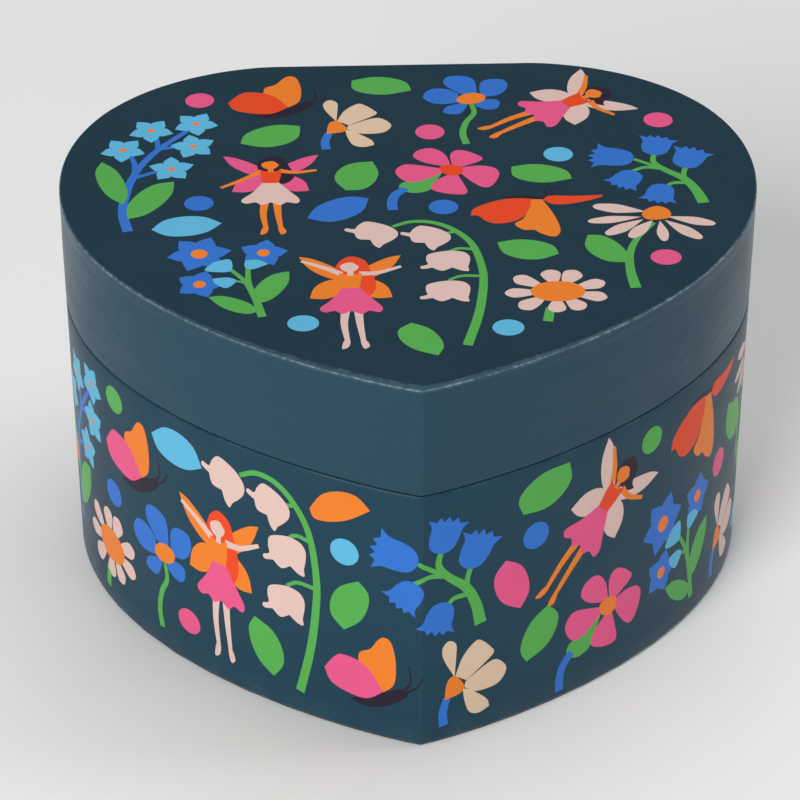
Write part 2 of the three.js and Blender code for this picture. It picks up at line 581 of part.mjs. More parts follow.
// ---- governor: train wheel, worm, fan and the frame that carries them
function addTrain() {
  const phase = -Math.PI / 2 + Math.PI / TRAIN_PINION_TEETH;
  const teeth = slabX(spurOutline(TRAIN_PINION_TEETH, AXIS_Y, TRAIN_Z, phase),
    GEAR_X, GEAR_X + GEAR_WIDTH);
  const shaft = slabX(circle(AXIS_Y, TRAIN_Z, 0.6, 12), CYLINDER_END - 1.7, FRAME_X + 1.3);
  add('train_arbor', join(teeth, shaft), STEEL);
  const outline = gearOutline(AXIS_Y, TRAIN_Z, WHEEL_TEETH, WHEEL_RADIUS - 0.55,
    WHEEL_RADIUS + 0.25, 0.3, 0.15, Math.PI);
  add('worm_wheel', slabX(outline, WHEEL_X, WHEEL_X + WHEEL_WIDTH,
    [circle(AXIS_Y, TRAIN_Z, 0.6 + GLUE, 12)]), WHITE_NYLON);
  const tab = rectangle(AXIS_Y - 1.3, PLATE_FRONT - GLUE, TRAIN_Z - 0.9, TRAIN_Z + 2.4);
  add('train_bracket', slabX(tab, CYLINDER_END - 1.5, CYLINDER_END - 0.6,
    [circle(AXIS_Y, TRAIN_Z, 0.6 + FIT / 2, 10)]), ZINC);
}

function addWorm() {
  const lead = (2 * Math.PI * WHEEL_RADIUS) / WHEEL_TEETH;
  const steps = 12;
  const points = [];
  for (let i = 0; i <= WORM_TURNS * steps; i += 1) {
    const angle = (2 * Math.PI * i) / steps;
    points.push(new THREE.Vector3(1.15 * Math.cos(angle), 1.15 * Math.sin(angle),
      lead * (i / steps - WORM_TURNS / 2)));
  }
  const section = new THREE.Shape(circle(0, 0, 0.3, 4));
  const thread = new THREE.ExtrudeGeometry(section, { steps: WORM_TURNS * steps,
    bevelEnabled: false, extrudePath: new THREE.CatmullRomCurve3(points) });
  const core = slabZ(circle(0, 0, 1.05, 12), -(WORM_TURNS / 2 + 0.4) * lead,
    (WORM_TURNS / 2 + 0.4) * lead);
  const shaft = slabZ(circle(0, 0, 0.5, 10), FRAME_BOTTOM + 0.1 - TRAIN_Z, FAN_BOTTOM + 3.2 - TRAIN_Z);
  const whole = join(thread, core, shaft);
  add('worm', whole.rotateZ(-Math.PI / 2).translate(WORM_X, WORM_Y, TRAIN_Z), STEEL);
}

const FRAME_BOTTOM = TRAIN_Z - 7.4;

function addFan() {
  const hub = slabZ(circle(0, 0, 1.3, 12), 0, FAN_HEIGHT);
  const vane = block(-FAN_RADIUS, FAN_RADIUS, -0.25, 0.25, 0.2, FAN_HEIGHT - 0.2);
  const bore = slabZ(circle(0, 0, 0.5 + GLUE, 10), -1, 5);
  const fan = cut(join(hub, vane), bore);
  add('fan', fan.translate(WORM_X, WORM_Y, FAN_BOTTOM), WHITE_NYLON);
}

function addGovernorFrame() {
  const plate = rectangle(WORM_Y - 2.6, PLATE_FRONT - GLUE, KEY_HEIGHT - 3, FRAME_TOP);
  const side = slabX(plate, FRAME_X, FRAME_X + 1.2, [
    circle(AXIS_Y, KEY_HEIGHT, 0.8 + FIT, 12), circle(AXIS_Y, TRAIN_Z, 0.6 + FIT, 12)]);
  const shelf = (z0, z1) => block(WORM_X - 1.2, FRAME_X + 0.4, WORM_Y - 2.6, WORM_Y + 1.4, z0, z1);
  const bore = slabZ(circle(WORM_X, WORM_Y, 0.5 + RUNNING / 2, 10), 0, TOP);
  const frame = cut(join(side, shelf(FRAME_BOTTOM, FRAME_BOTTOM + 1),
    shelf(FRAME_TOP - 0.8, FRAME_TOP)), bore);
  add('governor_frame', frame, ZINC);
}

// ---- drive to the figure: bracket, spindle and pinion on the axis along Z
function addSpindle() {
  const arm = block(-4.5, 4.5, AXIS_Y - 3.2, PLATE_FRONT - GLUE, BRACKET_BOTTOM, BRACKET_BOTTOM + 1.2);
  const foot = block(-4.5, 4.5, PLATE_FRONT - 1.2, PLATE_FRONT - GLUE, BRACKET_BOTTOM, BRACKET_TOP);
  const bore = slabZ(circle(0, AXIS_Y, SPINDLE_RADIUS + RUNNING, 12), 0, TOP);
  add('spindle_bracket', cut(join(arm, foot), bore), ZINC);
  const middle = KEY_HEIGHT + CROWN_RADIUS;
  add('dancer_pinion', pinion(slabZ, 0, AXIS_Y, Math.PI / 2 + Math.PI / PINION_TEETH,
    middle - PINION_WIDTH / 2, middle + PINION_WIDTH / 2), STEEL);
  add('dancer_spindle', slabZ(circle(0, AXIS_Y, SPINDLE_RADIUS, 12),
    middle - PINION_WIDTH, TURNTABLE_Z + 2.6), STEEL);
}

// ---- turntable, seat spring and figure
function addFigure() {
  add('turntable', slabZ(circle(0, AXIS_Y, TURNTABLE_RADIUS, 32), TURNTABLE_Z,
    TURNTABLE_Z + TURNTABLE_THICKNESS, [circle(0, AXIS_Y, SPINDLE_RADIUS + GLUE, 12)]), GILT);
  add('figure_spring', coil(2.2, 0.35, 1.2, 4.5, 12).translate(0, AXIS_Y, SPRING_BOTTOM),
    SPRING_STEEL);
  const h = FIGURE_HEIGHT / 37; // the figure's profile is drawn 37 mm tall
  const body = turned([[0, 0], [0.9, 0], [0.9, 13 * h], [7.5, 14.5 * h], [7.2, 15.6 * h],
    [2.4, 19.5 * h], [1.7, 21.5 * h], [2.5, 25 * h], [2.1, 26.6 * h], [0.8, 27.2 * h],
    [0.8, 28.6 * h], [2.2, 30 * h], [2.6, 32 * h], [2.2, 34.2 * h], [1.2, 35.2 * h],
    [1.3, 36.4 * h], [0, 37 * h]], 16).rotateX(Math.PI / 2);
  const arm = (side) => slabY(circle(0, 0, 0.6, 8), 0, 9 * h).rotateX(Math.PI - 1.15)
    .rotateZ(side * 0.9).translate(side * 1.6, 0, 25.6 * h);
  add('figure_body', join(body, arm(1), arm(-1)).translate(0, AXIS_Y, FIGURE_FOOT), PORCELAIN);
  addWings(FIGURE_FOOT + 22.5 * h, h);
}

function addWings(z, size) {
  const lobe = (side, lift, reach, width) => {
    const points = [];
    for (let i = 0; i < 14; i += 1) {
      const angle = (2 * Math.PI * i) / 14;
      const along = reach * (0.5 + 0.5 * Math.cos(angle));
      const across = width * Math.sin(angle) * (0.55 + 0.45 * Math.cos(angle));
      points.push(new THREE.Vector2(
        side * (along * Math.cos(lift) - across * Math.sin(lift)),
        along * Math.sin(lift) + across * Math.cos(lift)));
    }
    return slabY(side > 0 ? points : points.reverse(), 0, 0.5);
  };
  const pieces = [block(-0.8, 0.8, 0, 0.5, -2 * size, 2 * size)];
  [1, -1].forEach((side) => {
    pieces.push(lobe(side, 0.75, 11 * size, 4.6 * size), lobe(side, -0.3, 8 * size, 3.2 * size));
  });
  add('figure_wings', join(...pieces).translate(0, AXIS_Y + 3, z), WING);
}

// ---- wire that the lid presses down, and its staple
function addStopWire() {
  const y = INSIDE_BACK - 0.7;
  const level = FRAME_TOP + 1.1;
  const points = [[WORM_X, WORM_Y + FAN_RADIUS + 0.75, level], [WORM_X, WORM_Y + 9, level],
    [WIRE_X + 0.6, y - 5, level], [WIRE_X + 0.2, y - 1.4, level + 0.4], [WIRE_X, y, level + 2.6],
    [WIRE_X, y, level + 8], [WIRE_X, y, 56], [WIRE_X, y, 66], [WIRE_X, y, SEAM - 3],
    [WIRE_X, y + 0.1, SEAM - 0.7], [WIRE_X, y + 0.8, SEAM + 0.3], [WIRE_X, y + 1.6, SEAM + 0.4]];
  const path = new THREE.CatmullRomCurve3(points.map(([a, b, c]) => new THREE.Vector3(a, b, c)),
    false, 'centripetal');
  add('stop_wire', new THREE.ExtrudeGeometry(new THREE.Shape(circle(0, 0, WIRE_RADIUS, 8)),
    { steps: 44, bevelEnabled: false, extrudePath: path }), STEEL);
  const staple = block(WIRE_X - 3, WIRE_X + 3, INSIDE_BACK - 2.4, INSIDE_BACK - FIT, 56, 62);
  const groove = block(WIRE_X - 0.9, WIRE_X + 0.9, INSIDE_BACK - 1.6, BACK, 50, 70);
  add('wire_guide', cut(staple, groove), WHITE_NYLON);
}

addBase();
addLid();
addMirror();
addHinge();
addRibbon();
addHousing();
addBedplate();
addMovementScrews();
addKey();
addArbor();
addBarrel();
addMainspring();
addCylinder();
addComb();
addTrain();
addWorm();
addFan();
addGovernorFrame();
addSpindle();
addFigure();
addStopWire();

export default box;
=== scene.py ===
import bisect
import math

import bmesh
import bpy
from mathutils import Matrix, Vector, kdtree, noise
from mathutils.geometry import delaunay_2d_cdt, interpolate_bezier


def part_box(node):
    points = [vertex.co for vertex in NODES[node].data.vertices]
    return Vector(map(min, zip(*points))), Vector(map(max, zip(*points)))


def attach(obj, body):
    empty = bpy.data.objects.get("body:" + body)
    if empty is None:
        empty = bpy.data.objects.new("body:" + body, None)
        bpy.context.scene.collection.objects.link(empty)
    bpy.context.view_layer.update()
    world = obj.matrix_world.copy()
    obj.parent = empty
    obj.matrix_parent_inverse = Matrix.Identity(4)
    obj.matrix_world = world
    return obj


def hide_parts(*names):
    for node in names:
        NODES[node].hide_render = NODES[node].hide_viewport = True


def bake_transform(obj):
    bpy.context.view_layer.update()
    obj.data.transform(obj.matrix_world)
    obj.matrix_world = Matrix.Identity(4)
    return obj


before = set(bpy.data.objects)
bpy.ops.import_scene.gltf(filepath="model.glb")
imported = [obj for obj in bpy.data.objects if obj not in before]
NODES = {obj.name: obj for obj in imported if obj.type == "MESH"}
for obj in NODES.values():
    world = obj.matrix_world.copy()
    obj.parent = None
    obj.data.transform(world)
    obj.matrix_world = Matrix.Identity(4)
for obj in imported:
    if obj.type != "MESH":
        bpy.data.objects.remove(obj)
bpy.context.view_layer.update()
MM = 0.001

# ---- sizes of the box, in millimetres, as in the part
HEART_WIDTH = 175.0
HEART_DEPTH = 150.5
WIDEST_FROM_TIP = 94.5
BACK_FLAT = 64.0
TIP_SLOPE = math.radians(14.7)
TIP_EASE = 0.126
FRONT_FULLNESS = 0.644
BACK_FULLNESS = 0.725
SHOULDER_EASE = 0.385
TIP_RADIUS = 3.0
BACK = HEART_DEPTH / 2
BOARD_IN = 2.45
LINER_IN = 3.7
KEY_HEIGHT = 27.0


def top_of(node):
    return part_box(node)[1].z / MM


def bottom_of(node):
    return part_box(node)[0].z / MM


BASE_RIM = top_of("base_paper")
LID_RIM = bottom_of("lid_paper")
LID_PAPER_TOP = top_of("lid_paper")
TOP = top_of("lid_top_sheet")
SEAM = (BASE_RIM + LID_RIM) / 2
CEILING = bottom_of("lid_lining")


# ---- the heart's outline by distance along it, measured from the front tip
def bend(p0, p1, p2, p3, steps):
    curve = interpolate_bezier(*(Vector((*p, 0)) for p in (p0, p1, p2, p3)), steps + 1)
    return [Vector((p.x, p.y)) for p in curve]


def right_half():
    half = HEART_WIDTH / 2
    handle = TIP_EASE * half
    behind = HEART_DEPTH - WIDEST_FROM_TIP
    front = bend((0, 0), (handle * math.cos(TIP_SLOPE), handle * math.sin(TIP_SLOPE)),
                 (half, WIDEST_FROM_TIP * (1 - FRONT_FULLNESS)), (half, WIDEST_FROM_TIP), 400)
    shoulder = bend((half, WIDEST_FROM_TIP), (half, WIDEST_FROM_TIP + BACK_FULLNESS * behind),
                    (BACK_FLAT / 2 + SHOULDER_EASE * (half - BACK_FLAT / 2), HEART_DEPTH),
                    (BACK_FLAT / 2, HEART_DEPTH), 300)
    flat = [Vector((BACK_FLAT / 2 * (1 - i / 40), HEART_DEPTH)) for i in range(1, 41)]
    reach = TIP_RADIUS * math.tan(TIP_SLOPE)
    centre_y = TIP_RADIUS / math.cos(TIP_SLOPE)
    arc = [Vector((TIP_RADIUS * math.sin(a), centre_y - TIP_RADIUS * math.cos(a)))
           for a in (TIP_SLOPE * i / 12 for i in range(13))]
    rest = [p for p in front[1:] if p.length > reach * 1.02]
    points = arc + rest + shoulder[1:] + flat
    return [Vector((p.x, p.y - BACK)) for p in points]


class Outline:
    """The heart's edge: place and outward direction at a distance along it, in millimetres."""

    def __init__(self):
        self.points = right_half()
        self.along = [0.0]
        for a, b in zip(self.points, self.points[1:]):
            self.along.append(self.along[-1] + (b - a).length)
        self.half = self.along[-1]
        self.outward = []
        last = len(self.points) - 1
        for i in range(last + 1):
            way = self.points[min(i + 1, last)] - self.points[max(i - 1, 0)]
            self.outward.append(Vector((way.y, -way.x)).normalized())
        self.outward[0] = Vector((0, -1))
        self.outward[last] = Vector((0, 1))

    def at(self, s, inset=0.0, scale=1.0):
        s = (s + self.half) % (2 * self.half) - self.half
        side = -1 if s < 0 else 1
        s = abs(s)
        i = min(max(bisect.bisect_right(self.along, s) - 1, 0), len(self.points) - 2)
        share = (s - self.along[i]) / max(self.along[i + 1] - self.along[i], 1e-9)
        p = self.points[i].lerp(self.points[i + 1], share) * scale
        n = self.outward[i].lerp(self.outward[i + 1], share).normalized()
        q = p - n * inset
        if q.x < 0 and p.x >= 0 and abs(s) < 60:
            q.y += q.x * n.x / n.y
            q.x = 0.0
        return Vector((side * q.x, q.y)), Vector((side * n.x, n.y))


HEART = Outline()
LOOP = 2 * HEART.half


def heart_loop(inset, count=360, scale=1.0):
    """The heart as a closed list of points; equal counts match point for point."""
    return [HEART.at(LOOP * i / count, inset, scale)[0] for i in range(count)]


# ---- colours: sRGB hex to the linear values that shaders use
def linear(hex_code, alpha=1.0):
    parts = [int(hex_code[i:i + 2], 16) / 255 for i in (1, 3, 5)]
    return tuple(c / 12.92 if c <= 0.04045 else ((c + 0.055) / 1.055) ** 2.4
                 for c in parts) + (alpha,)


INKS = {
    "ground": "#163341",
    "pink": "#DF5586",
    "orange": "#E67C26",
    "red": "#E1461C",
    "green": "#52A54C",
    "sky": "#5BB0D6",
    "blue": "#2F6EC6",
    "blush": "#D9BAB2",
    "beige": "#D6BBA0",
    "plum": "#241B2C",
}


# ---- materials
def add_node(tree, kind, sockets=None, stops=(), **settings):
    """One node with its settings. A socket takes a value, or another node's output to link."""
    made = tree.nodes.new(kind)
    for name, value in settings.items():
        setattr(made, name, value)
    for socket, value in (sockets or {}).items():
        if isinstance(value, bpy.types.NodeSocket):
            tree.links.new(value, made.inputs[socket])
        else:
            made.inputs[socket].default_value = value
    for i, (at, colour) in enumerate(stops):
        element = made.color_ramp.elements[i] if i < 2 else made.color_ramp.elements.new(at)
        element.position = at
        element.color = colour
    return made


def new_material(name, **uniform):
    """A material with one shader; the values are its uniform sockets, by name."""
    material = bpy.data.materials.new(name)
    material.use_nodes = True
    tree = material.node_tree
    tree.nodes.clear()
    values = {key.replace("_", " "): value for key, value in uniform.items()}
    shader = add_node(tree, "ShaderNodeBsdfPrincipled", values)
    add_node(tree, "ShaderNodeOutputMaterial", {"Surface": shader.outputs["BSDF"]})
    where = add_node(tree, "ShaderNodeTexCoord").outputs
    return material, tree, shader, where


def wire(tree, shader, **sources):
    """Links sources to the shader's sockets."""
    for key, source in sources.items():
        tree.links.new(source, shader.inputs[key.replace("_", " ")])


# a wave texture of scale WAVE / d repeats every d; a noise of scale 1 / d has lumps about d wide
WAVE = math.pi / 10


def shade(hex_code, factor):
    """The same colour, lighter or darker by a factor."""
    r, g, b, a = linear(hex_code)
    return (min(r * factor, 1), min(g * factor, 1), min(b * factor, 1), a)


def offset_litho_paper(name, hex_code, gloss=0.15, haze=0.15, pulled=0.35):
    """Art paper, printed and matt laminated: even flat ink, a faint satin gloss that turns
    pale at a grazing angle, a fine tooth, slow waves where the glue has pulled on the board,
    pulled millimetres deep, and edges made lighter where a mask marks them: a little wear,
    and a painted highlight along the rims and feet."""
    material, tree, shader, where = new_material(name, IOR=1.5, Specular_IOR_Level=gloss,
        Sheen_Weight=haze, Sheen_Roughness=0.28)
    cloud = add_node(tree, "ShaderNodeTexNoise",
        {"Vector": where["Object"], "Scale": 1 / (34 * MM), "Detail": 4.0, "Roughness": 0.62})
    # paper fibres are finer than this; 0.55 mm is the finest that shows
    fibre = add_node(tree, "ShaderNodeTexNoise",
        {"Vector": where["Object"], "Scale": 1 / (0.55 * MM), "Detail": 2.0})
    body = add_node(tree, "ShaderNodeMix",
        {0: cloud.outputs["Fac"], 6: shade(hex_code, 0.92), 7: shade(hex_code, 1.08)},
        data_type="RGBA")
    tooth = add_node(tree, "ShaderNodeMapRange",
        {"Value": fibre.outputs["Fac"], "From Min": 0.35, "From Max": 0.75, "To Max": 0.16})
    body = add_node(tree, "ShaderNodeMix",
        {0: tooth.outputs[0], 6: body.outputs[2], 7: shade(hex_code, 1.25)}, data_type="RGBA")
    # the mask lightens the paper towards pale grey-blue: a little wear, and a painted highlight on
    # rims and feet
    wear_and_highlight = add_node(tree, "ShaderNodeAttribute", attribute_name="wear_and_highlight_mask")
    grain = add_node(tree, "ShaderNodeTexNoise",
        {"Vector": where["Object"], "Scale": 1 / (1.6 * MM), "Detail": 5.0, "Roughness": 0.7})
    spots = add_node(tree, "ShaderNodeMapRange",
        {"Value": grain.outputs["Fac"], "From Min": 0.42, "From Max": 0.62, "To Min": 0.25})
    wear_and_highlight_spots = add_node(tree, "ShaderNodeMath", {0: wear_and_highlight.outputs["Fac"], 1: spots.outputs[0]},
        operation="MULTIPLY")
    body = add_node(tree, "ShaderNodeMix",
        {0: wear_and_highlight_spots.outputs[0], 6: body.outputs[2], 7: linear("#8FA3AE")}, data_type="RGBA")
    patch = add_node(tree, "ShaderNodeTexNoise",
        {"Vector": where["Object"], "Scale": 1 / (18 * MM), "Detail": 3.0})
    rough = add_node(tree, "ShaderNodeMapRange",
        {"Value": patch.outputs["Fac"], "From Min": 0.3, "From Max": 0.7, "To Min": 0.40,
        "To Max": 0.50})
    # the waves run round the box: three times as long as they are high
    round_box = add_node(tree, "ShaderNodeMapping",
        {"Vector": where["Object"], "Scale": (1.0, 1.0, 3.0)})
    pull = add_node(tree, "ShaderNodeTexNoise",
        {"Vector": round_box.outputs[0], "Scale": 1 / (26 * MM), "Detail": 4.0, "Roughness": 0.6})
    waves = add_node(tree, "ShaderNodeBump",
        {"Height": pull.outputs["Fac"], "Strength": 0.6, "Distance": pulled * MM})
    feel = add_node(tree, "ShaderNodeTexNoise",
        {"Vector": where["Object"], "Scale": 1 / (0.35 * MM), "Detail": 3.0})
    fine = add_node(tree, "ShaderNodeBump",
        {"Height": feel.outputs["Fac"], "Strength": 0.5, "Distance": 0.02 * MM,
        "Normal": waves.outputs[0]})
    wire(tree, shader, Base_Color=body.outputs[2], Roughness=rough.outputs[0],
         Normal=fine.outputs[0])
    return material


def greyboard():
    """Pressed waste-paper board: dull grey-brown with darker flecks and no gloss."""
    material, tree, shader, where = new_material("greyboard", Roughness=0.95, IOR=1.45)
    flecks = add_node(tree, "ShaderNodeTexNoise",
        {"Vector": where["Object"], "Scale": 1 / (0.9 * MM), "Detail": 6.0, "Roughness": 0.75})
    colour = add_node(tree, "ShaderNodeValToRGB", {"Fac": flecks.outputs["Fac"]},
        stops=[(0.3, linear("#6F6759")), (0.72, linear("#B3A996")), (0.5, linear("#9A8F7E"))])
    pitted = add_node(tree, "ShaderNodeBump",
        {"Height": flecks.outputs["Fac"], "Strength": 0.6, "Distance": 0.06 * MM})
    wire(tree, shader, Base_Color=colour.outputs["Color"], Normal=pitted.outputs[0])
    return material


def flocked_card():
    """Nylon flock on card: a short velvet nap, rose pink, darker where the nap lies over,
    with a soft bright edge."""
    material, tree, shader, where = new_material("flocked_card", Roughness=0.96, IOR=1.45,
        Sheen_Weight=0.7, Sheen_Roughness=0.4, Sheen_Tint=linear("#FFE3EA"))
    # flock fibres are 0.02 mm thick; their tufts are drawn 0.5 mm wide so that they show
    nap = add_node(tree, "ShaderNodeTexNoise",
        {"Vector": where["Object"], "Scale": 1 / (0.5 * MM), "Detail": 3.0, "Roughness": 0.6})
    strokes = add_node(tree, "ShaderNodeTexNoise",
        {"Vector": where["Object"], "Scale": 1 / (22 * MM), "Detail": 4.0, "Roughness": 0.6})
    colour = add_node(tree, "ShaderNodeMix",
        {0: strokes.outputs["Fac"], 6: linear("#BE7488"), 7: linear("#DC9AAB")}, data_type="RGBA")
    tips = add_node(tree, "ShaderNodeMapRange",
        {"Value": nap.outputs["Fac"], "From Min": 0.3, "From Max": 0.8, "To Max": 0.5})
    colour = add_node(tree, "ShaderNodeMix",
        {0: tips.outputs[0], 6: colour.outputs[2], 7: linear("#F0BFCB")}, data_type="RGBA")
    pile = add_node(tree, "ShaderNodeBump",
        {"Height": nap.outputs["Fac"], "Strength": 0.8, "Distance": 0.12 * MM})
    wire(tree, shader, Base_Color=colour.outputs[2], Normal=pile.outputs[0])
    return material


def laid_lining_paper():
    """Uncoated pink lining paper: matt, with a fine laid rib 0.8 mm apart and soft mottling."""
    material, tree, shader, where = new_material("laid_lining_paper", Roughness=0.82, IOR=1.48)
    rib = add_node(tree, "ShaderNodeTexWave",
        {"Vector": where["Object"], "Scale": WAVE / (0.8 * MM), "Distortion": 0.6, "Detail": 1.0},
        wave_type="BANDS", bands_direction="Z")
    mottle = add_node(tree, "ShaderNodeTexNoise",
        {"Vector": where["Object"], "Scale": 1 / (3.5 * MM), "Detail": 5.0, "Roughness": 0.65})
    colour = add_node(tree, "ShaderNodeMix",
        {0: mottle.outputs["Fac"], 6: linear("#D7A0AD"), 7: linear("#EAC2CB")}, data_type="RGBA")
    ribbed = add_node(tree, "ShaderNodeBump",
        {"Height": rib.outputs["Fac"], "Strength": 0.35, "Distance": 0.03 * MM})
    wire(tree, shader, Base_Color=colour.outputs[2], Normal=ribbed.outputs[0])
    return material


def plain_woven_cotton(name, dark, light, thread, sheen, follows="UV"):
    """Plain-woven cotton: crossing threads, small uneven slubs and a little sheen. It follows
    the piece's own map in millimetres, so that the weave bends with it, or the piece's place
    in metres where it lies flat; thread is the thread spacing in that map."""
    material, tree, shader, where = new_material(name, Roughness=0.8, IOR=1.46, Sheen_Weight=sheen,
        Sheen_Roughness=0.35)
    warp, weft = (add_node(tree, "ShaderNodeTexWave",
        {"Vector": where[follows], "Scale": WAVE / thread, "Distortion": 0.35, "Detail": 1.0,
        "Detail Scale": 2.0}, wave_type="BANDS", bands_direction=way) for way in "XY")
    weave = add_node(tree, "ShaderNodeMath", {0: warp.outputs["Fac"], 1: weft.outputs["Fac"]},
        operation="MULTIPLY")
    slub = add_node(tree, "ShaderNodeTexNoise",
        {"Vector": where[follows], "Scale": 0.4 / thread, "Detail": 4.0})
    colour = add_node(tree, "ShaderNodeMix",
        {0: weave.outputs[0], 6: linear(dark), 7: linear(light)}, data_type="RGBA")
    uneven = add_node(tree, "ShaderNodeMapRange",
        {"Value": slub.outputs["Fac"], "From Min": 0.35, "From Max": 0.75, "To Max": 0.35})
    colour = add_node(tree, "ShaderNodeMix",
        {0: uneven.outputs[0], 6: colour.outputs[2], 7: shade(light, 1.08)}, data_type="RGBA")
    crossed = add_node(tree, "ShaderNodeBump",
        {"Height": weave.outputs[0], "Strength": 0.7, "Distance": 0.12 * MM})
    wire(tree, shader, Base_Color=colour.outputs[2], Normal=crossed.outputs[0])
    return material


def silvered_glass():
    """A glass mirror: a clean bright reflection with a faint smear of handling."""
    material, tree, shader, where = new_material("silvered_glass", Metallic=1.0)
    smear = add_node(tree, "ShaderNodeTexNoise",
        {"Vector": where["Object"], "Scale": 1 / (14 * MM), "Detail": 5.0, "Roughness": 0.7})
    colour = add_node(tree, "ShaderNodeMix",
        {0: smear.outputs["Fac"], 6: linear("#D9E2E2"), 7: linear("#E9F0F0")}, data_type="RGBA")
    rough = add_node(tree, "ShaderNodeMapRange",
        {"Value": smear.outputs["Fac"], "From Min": 0.4, "From Max": 0.75, "To Min": 0.02,
        "To Max": 0.09})
    wire(tree, shader, Base_Color=colour.outputs[2], Roughness=rough.outputs[0])
    return material


def worked_metal(name, dark, light, roughness, grain_mm, stretch=(1, 1, 1), depth_mm=0.01):
    """A metal part: its colour, with a faint stain, a grain left by rolling, turning or
    casting, drawn at grain_mm so that it shows, and gloss that varies with the grain."""
    material, tree, shader, where = new_material(name, Metallic=1.0)
    way = add_node(tree, "ShaderNodeMapping", {"Vector": where["Object"], "Scale": stretch})
    grain = add_node(tree, "ShaderNodeTexNoise",
        {"Vector": way.outputs[0], "Scale": 1 / (grain_mm * MM), "Detail": 4.0, "Roughness": 0.6})
    stain = add_node(tree, "ShaderNodeTexNoise",
        {"Vector": where["Object"], "Scale": 1 / (6 * MM), "Detail": 4.0, "Roughness": 0.6})
    colour = add_node(tree, "ShaderNodeMix",
        {0: stain.outputs["Fac"], 6: linear(dark), 7: linear(light)}, data_type="RGBA")
    rough = add_node(tree, "ShaderNodeMapRange",
        {"Value": grain.outputs["Fac"], "From Min": 0.3, "From Max": 0.7, "To Min": roughness * 0.8,
        "To Max": roughness * 1.3})
    marks = add_node(tree, "ShaderNodeBump",
        {"Height": grain.outputs["Fac"], "Strength": 0.5, "Distance": depth_mm * MM})
    wire(tree, shader, Base_Color=colour.outputs[2], Roughness=rough.outputs[0],
         Normal=marks.outputs[0])
    return material


def moulded_plastic(name, dark, light, roughness, depth=0.0):
    """A moulded or dipped plastic part: slight colour drift, a fine mould texture and satin
    gloss; depth lets a little light in under the skin."""
    material, tree, shader, where = new_material(name, Roughness=roughness, IOR=1.53,
        Subsurface_Weight=depth, Subsurface_Scale=0.5 * MM)
    drift = add_node(tree, "ShaderNodeTexNoise",
        {"Vector": where["Object"], "Scale": 1 / (8 * MM), "Detail": 3.0})
    colour = add_node(tree, "ShaderNodeMix",
        {0: drift.outputs["Fac"], 6: linear(dark), 7: linear(light)}, data_type="RGBA")
    skin = add_node(tree, "ShaderNodeTexNoise",
        {"Vector": where["Object"], "Scale": 1 / (0.25 * MM), "Detail": 3.0})
    texture = add_node(tree, "ShaderNodeBump",
        {"Height": skin.outputs["Fac"], "Strength": 0.4, "Distance": 0.01 * MM})
    wire(tree, shader, Base_Color=colour.outputs[2], Normal=texture.outputs[0])
    return material


def sawn_pine():
    """A small sawn pine block: pale straw, with darker growth lines 1.6 mm apart."""
    material, tree, shader, where = new_material("sawn_pine", Roughness=0.72, IOR=1.5)
    rings = add_node(tree, "ShaderNodeTexWave",
        {"Vector": where["Object"], "Scale": WAVE / (1.6 * MM), "Distortion": 5.0, "Detail": 3.0,
        "Detail Scale": 0.4}, wave_type="BANDS", bands_direction="Z", wave_profile="SAW")
    colour = add_node(tree, "ShaderNodeMix",
        {0: rings.outputs["Fac"], 6: linear("#B98A55"), 7: linear("#DDBB88")}, data_type="RGBA")
    ridged = add_node(tree, "ShaderNodeBump",
        {"Height": rings.outputs["Fac"], "Strength": 0.4, "Distance": 0.05 * MM})
    wire(tree, shader, Base_Color=colour.outputs[2], Normal=ridged.outputs[0])
    return material


def tinted_acetate():
    """Thin printed acetate: pink, clear enough to glow at the edges, glossy."""
    material, tree, shader, where = new_material("tinted_acetate", Roughness=0.18, IOR=1.47,
        Transmission_Weight=0.45)
    veins = add_node(tree, "ShaderNodeTexNoise",
        {"Vector": where["Object"], "Scale": 1 / (2.5 * MM), "Detail": 4.0})
    colour = add_node(tree, "ShaderNodeMix",
        {0: veins.outputs["Fac"], 6: linear("#F3A9C4"), 7: linear("#FBD7E3")}, data_type="RGBA")
    pressed = add_node(tree, "ShaderNodeBump",
        {"Height": veins.outputs["Fac"], "Strength": 0.4, "Distance": 0.03 * MM})
    wire(tree, shader, Base_Color=colour.outputs[2], Normal=pressed.outputs[0])
    return material


PAPER = {ink: offset_litho_paper(f"offset_litho_paper_{ink}", code) for ink, code in INKS.items()}
PLAIN_WRAP = offset_litho_paper("offset_litho_paper_wrap", "#1A3F51", 0.26, 0.2, 0.8)
# the base's sides get a lighter, bluer copy of the top's ground ink: painted light for the extra
# light the sides catch
SIDE_GROUND_PAINTED_LIGHTER = offset_litho_paper("offset_litho_paper_side_painted_light", "#153B4D", 0.18, 0.17, 0.4)
GREYBOARD = greyboard()
FLOCK = flocked_card()
LINING = laid_lining_paper()
TAPE = plain_woven_cotton("plain_woven_cotton_rose", "#A85F74", "#D793A6", 0.45, 0.35)
BOOKCLOTH = plain_woven_cotton("plain_woven_bookcloth_navy", "#141C24", "#2B3A46", 0.6 * MM, 0.2,
                               "Object")
MIRROR = silvered_glass()
GILT = worked_metal("gilt_lacquered_zinc", "#DDB05A", "#F0D28A", 0.34, 1.5, (1, 1, 1), 0.004)
STEEL = worked_metal("turned_nickelled_steel", "#A9ABAE", "#CFD1D3", 0.3, 0.3, (1, 6, 1))
SPRING_STEEL = worked_metal("blued_spring_steel", "#3F4D66", "#6C7F9C", 0.3, 0.3, (6, 1, 1))
BRASS = worked_metal("pressed_brass", "#B58A35", "#DDB65C", 0.26, 0.5)
CAST_ZINC = worked_metal("cast_zinc", "#85888A", "#ABAEB0", 0.5, 0.8, (1, 1, 1), 0.05)
NYLON = moulded_plastic("moulded_nylon_white", "#DDD8CB", "#F1EEE4", 0.45, 0.1)
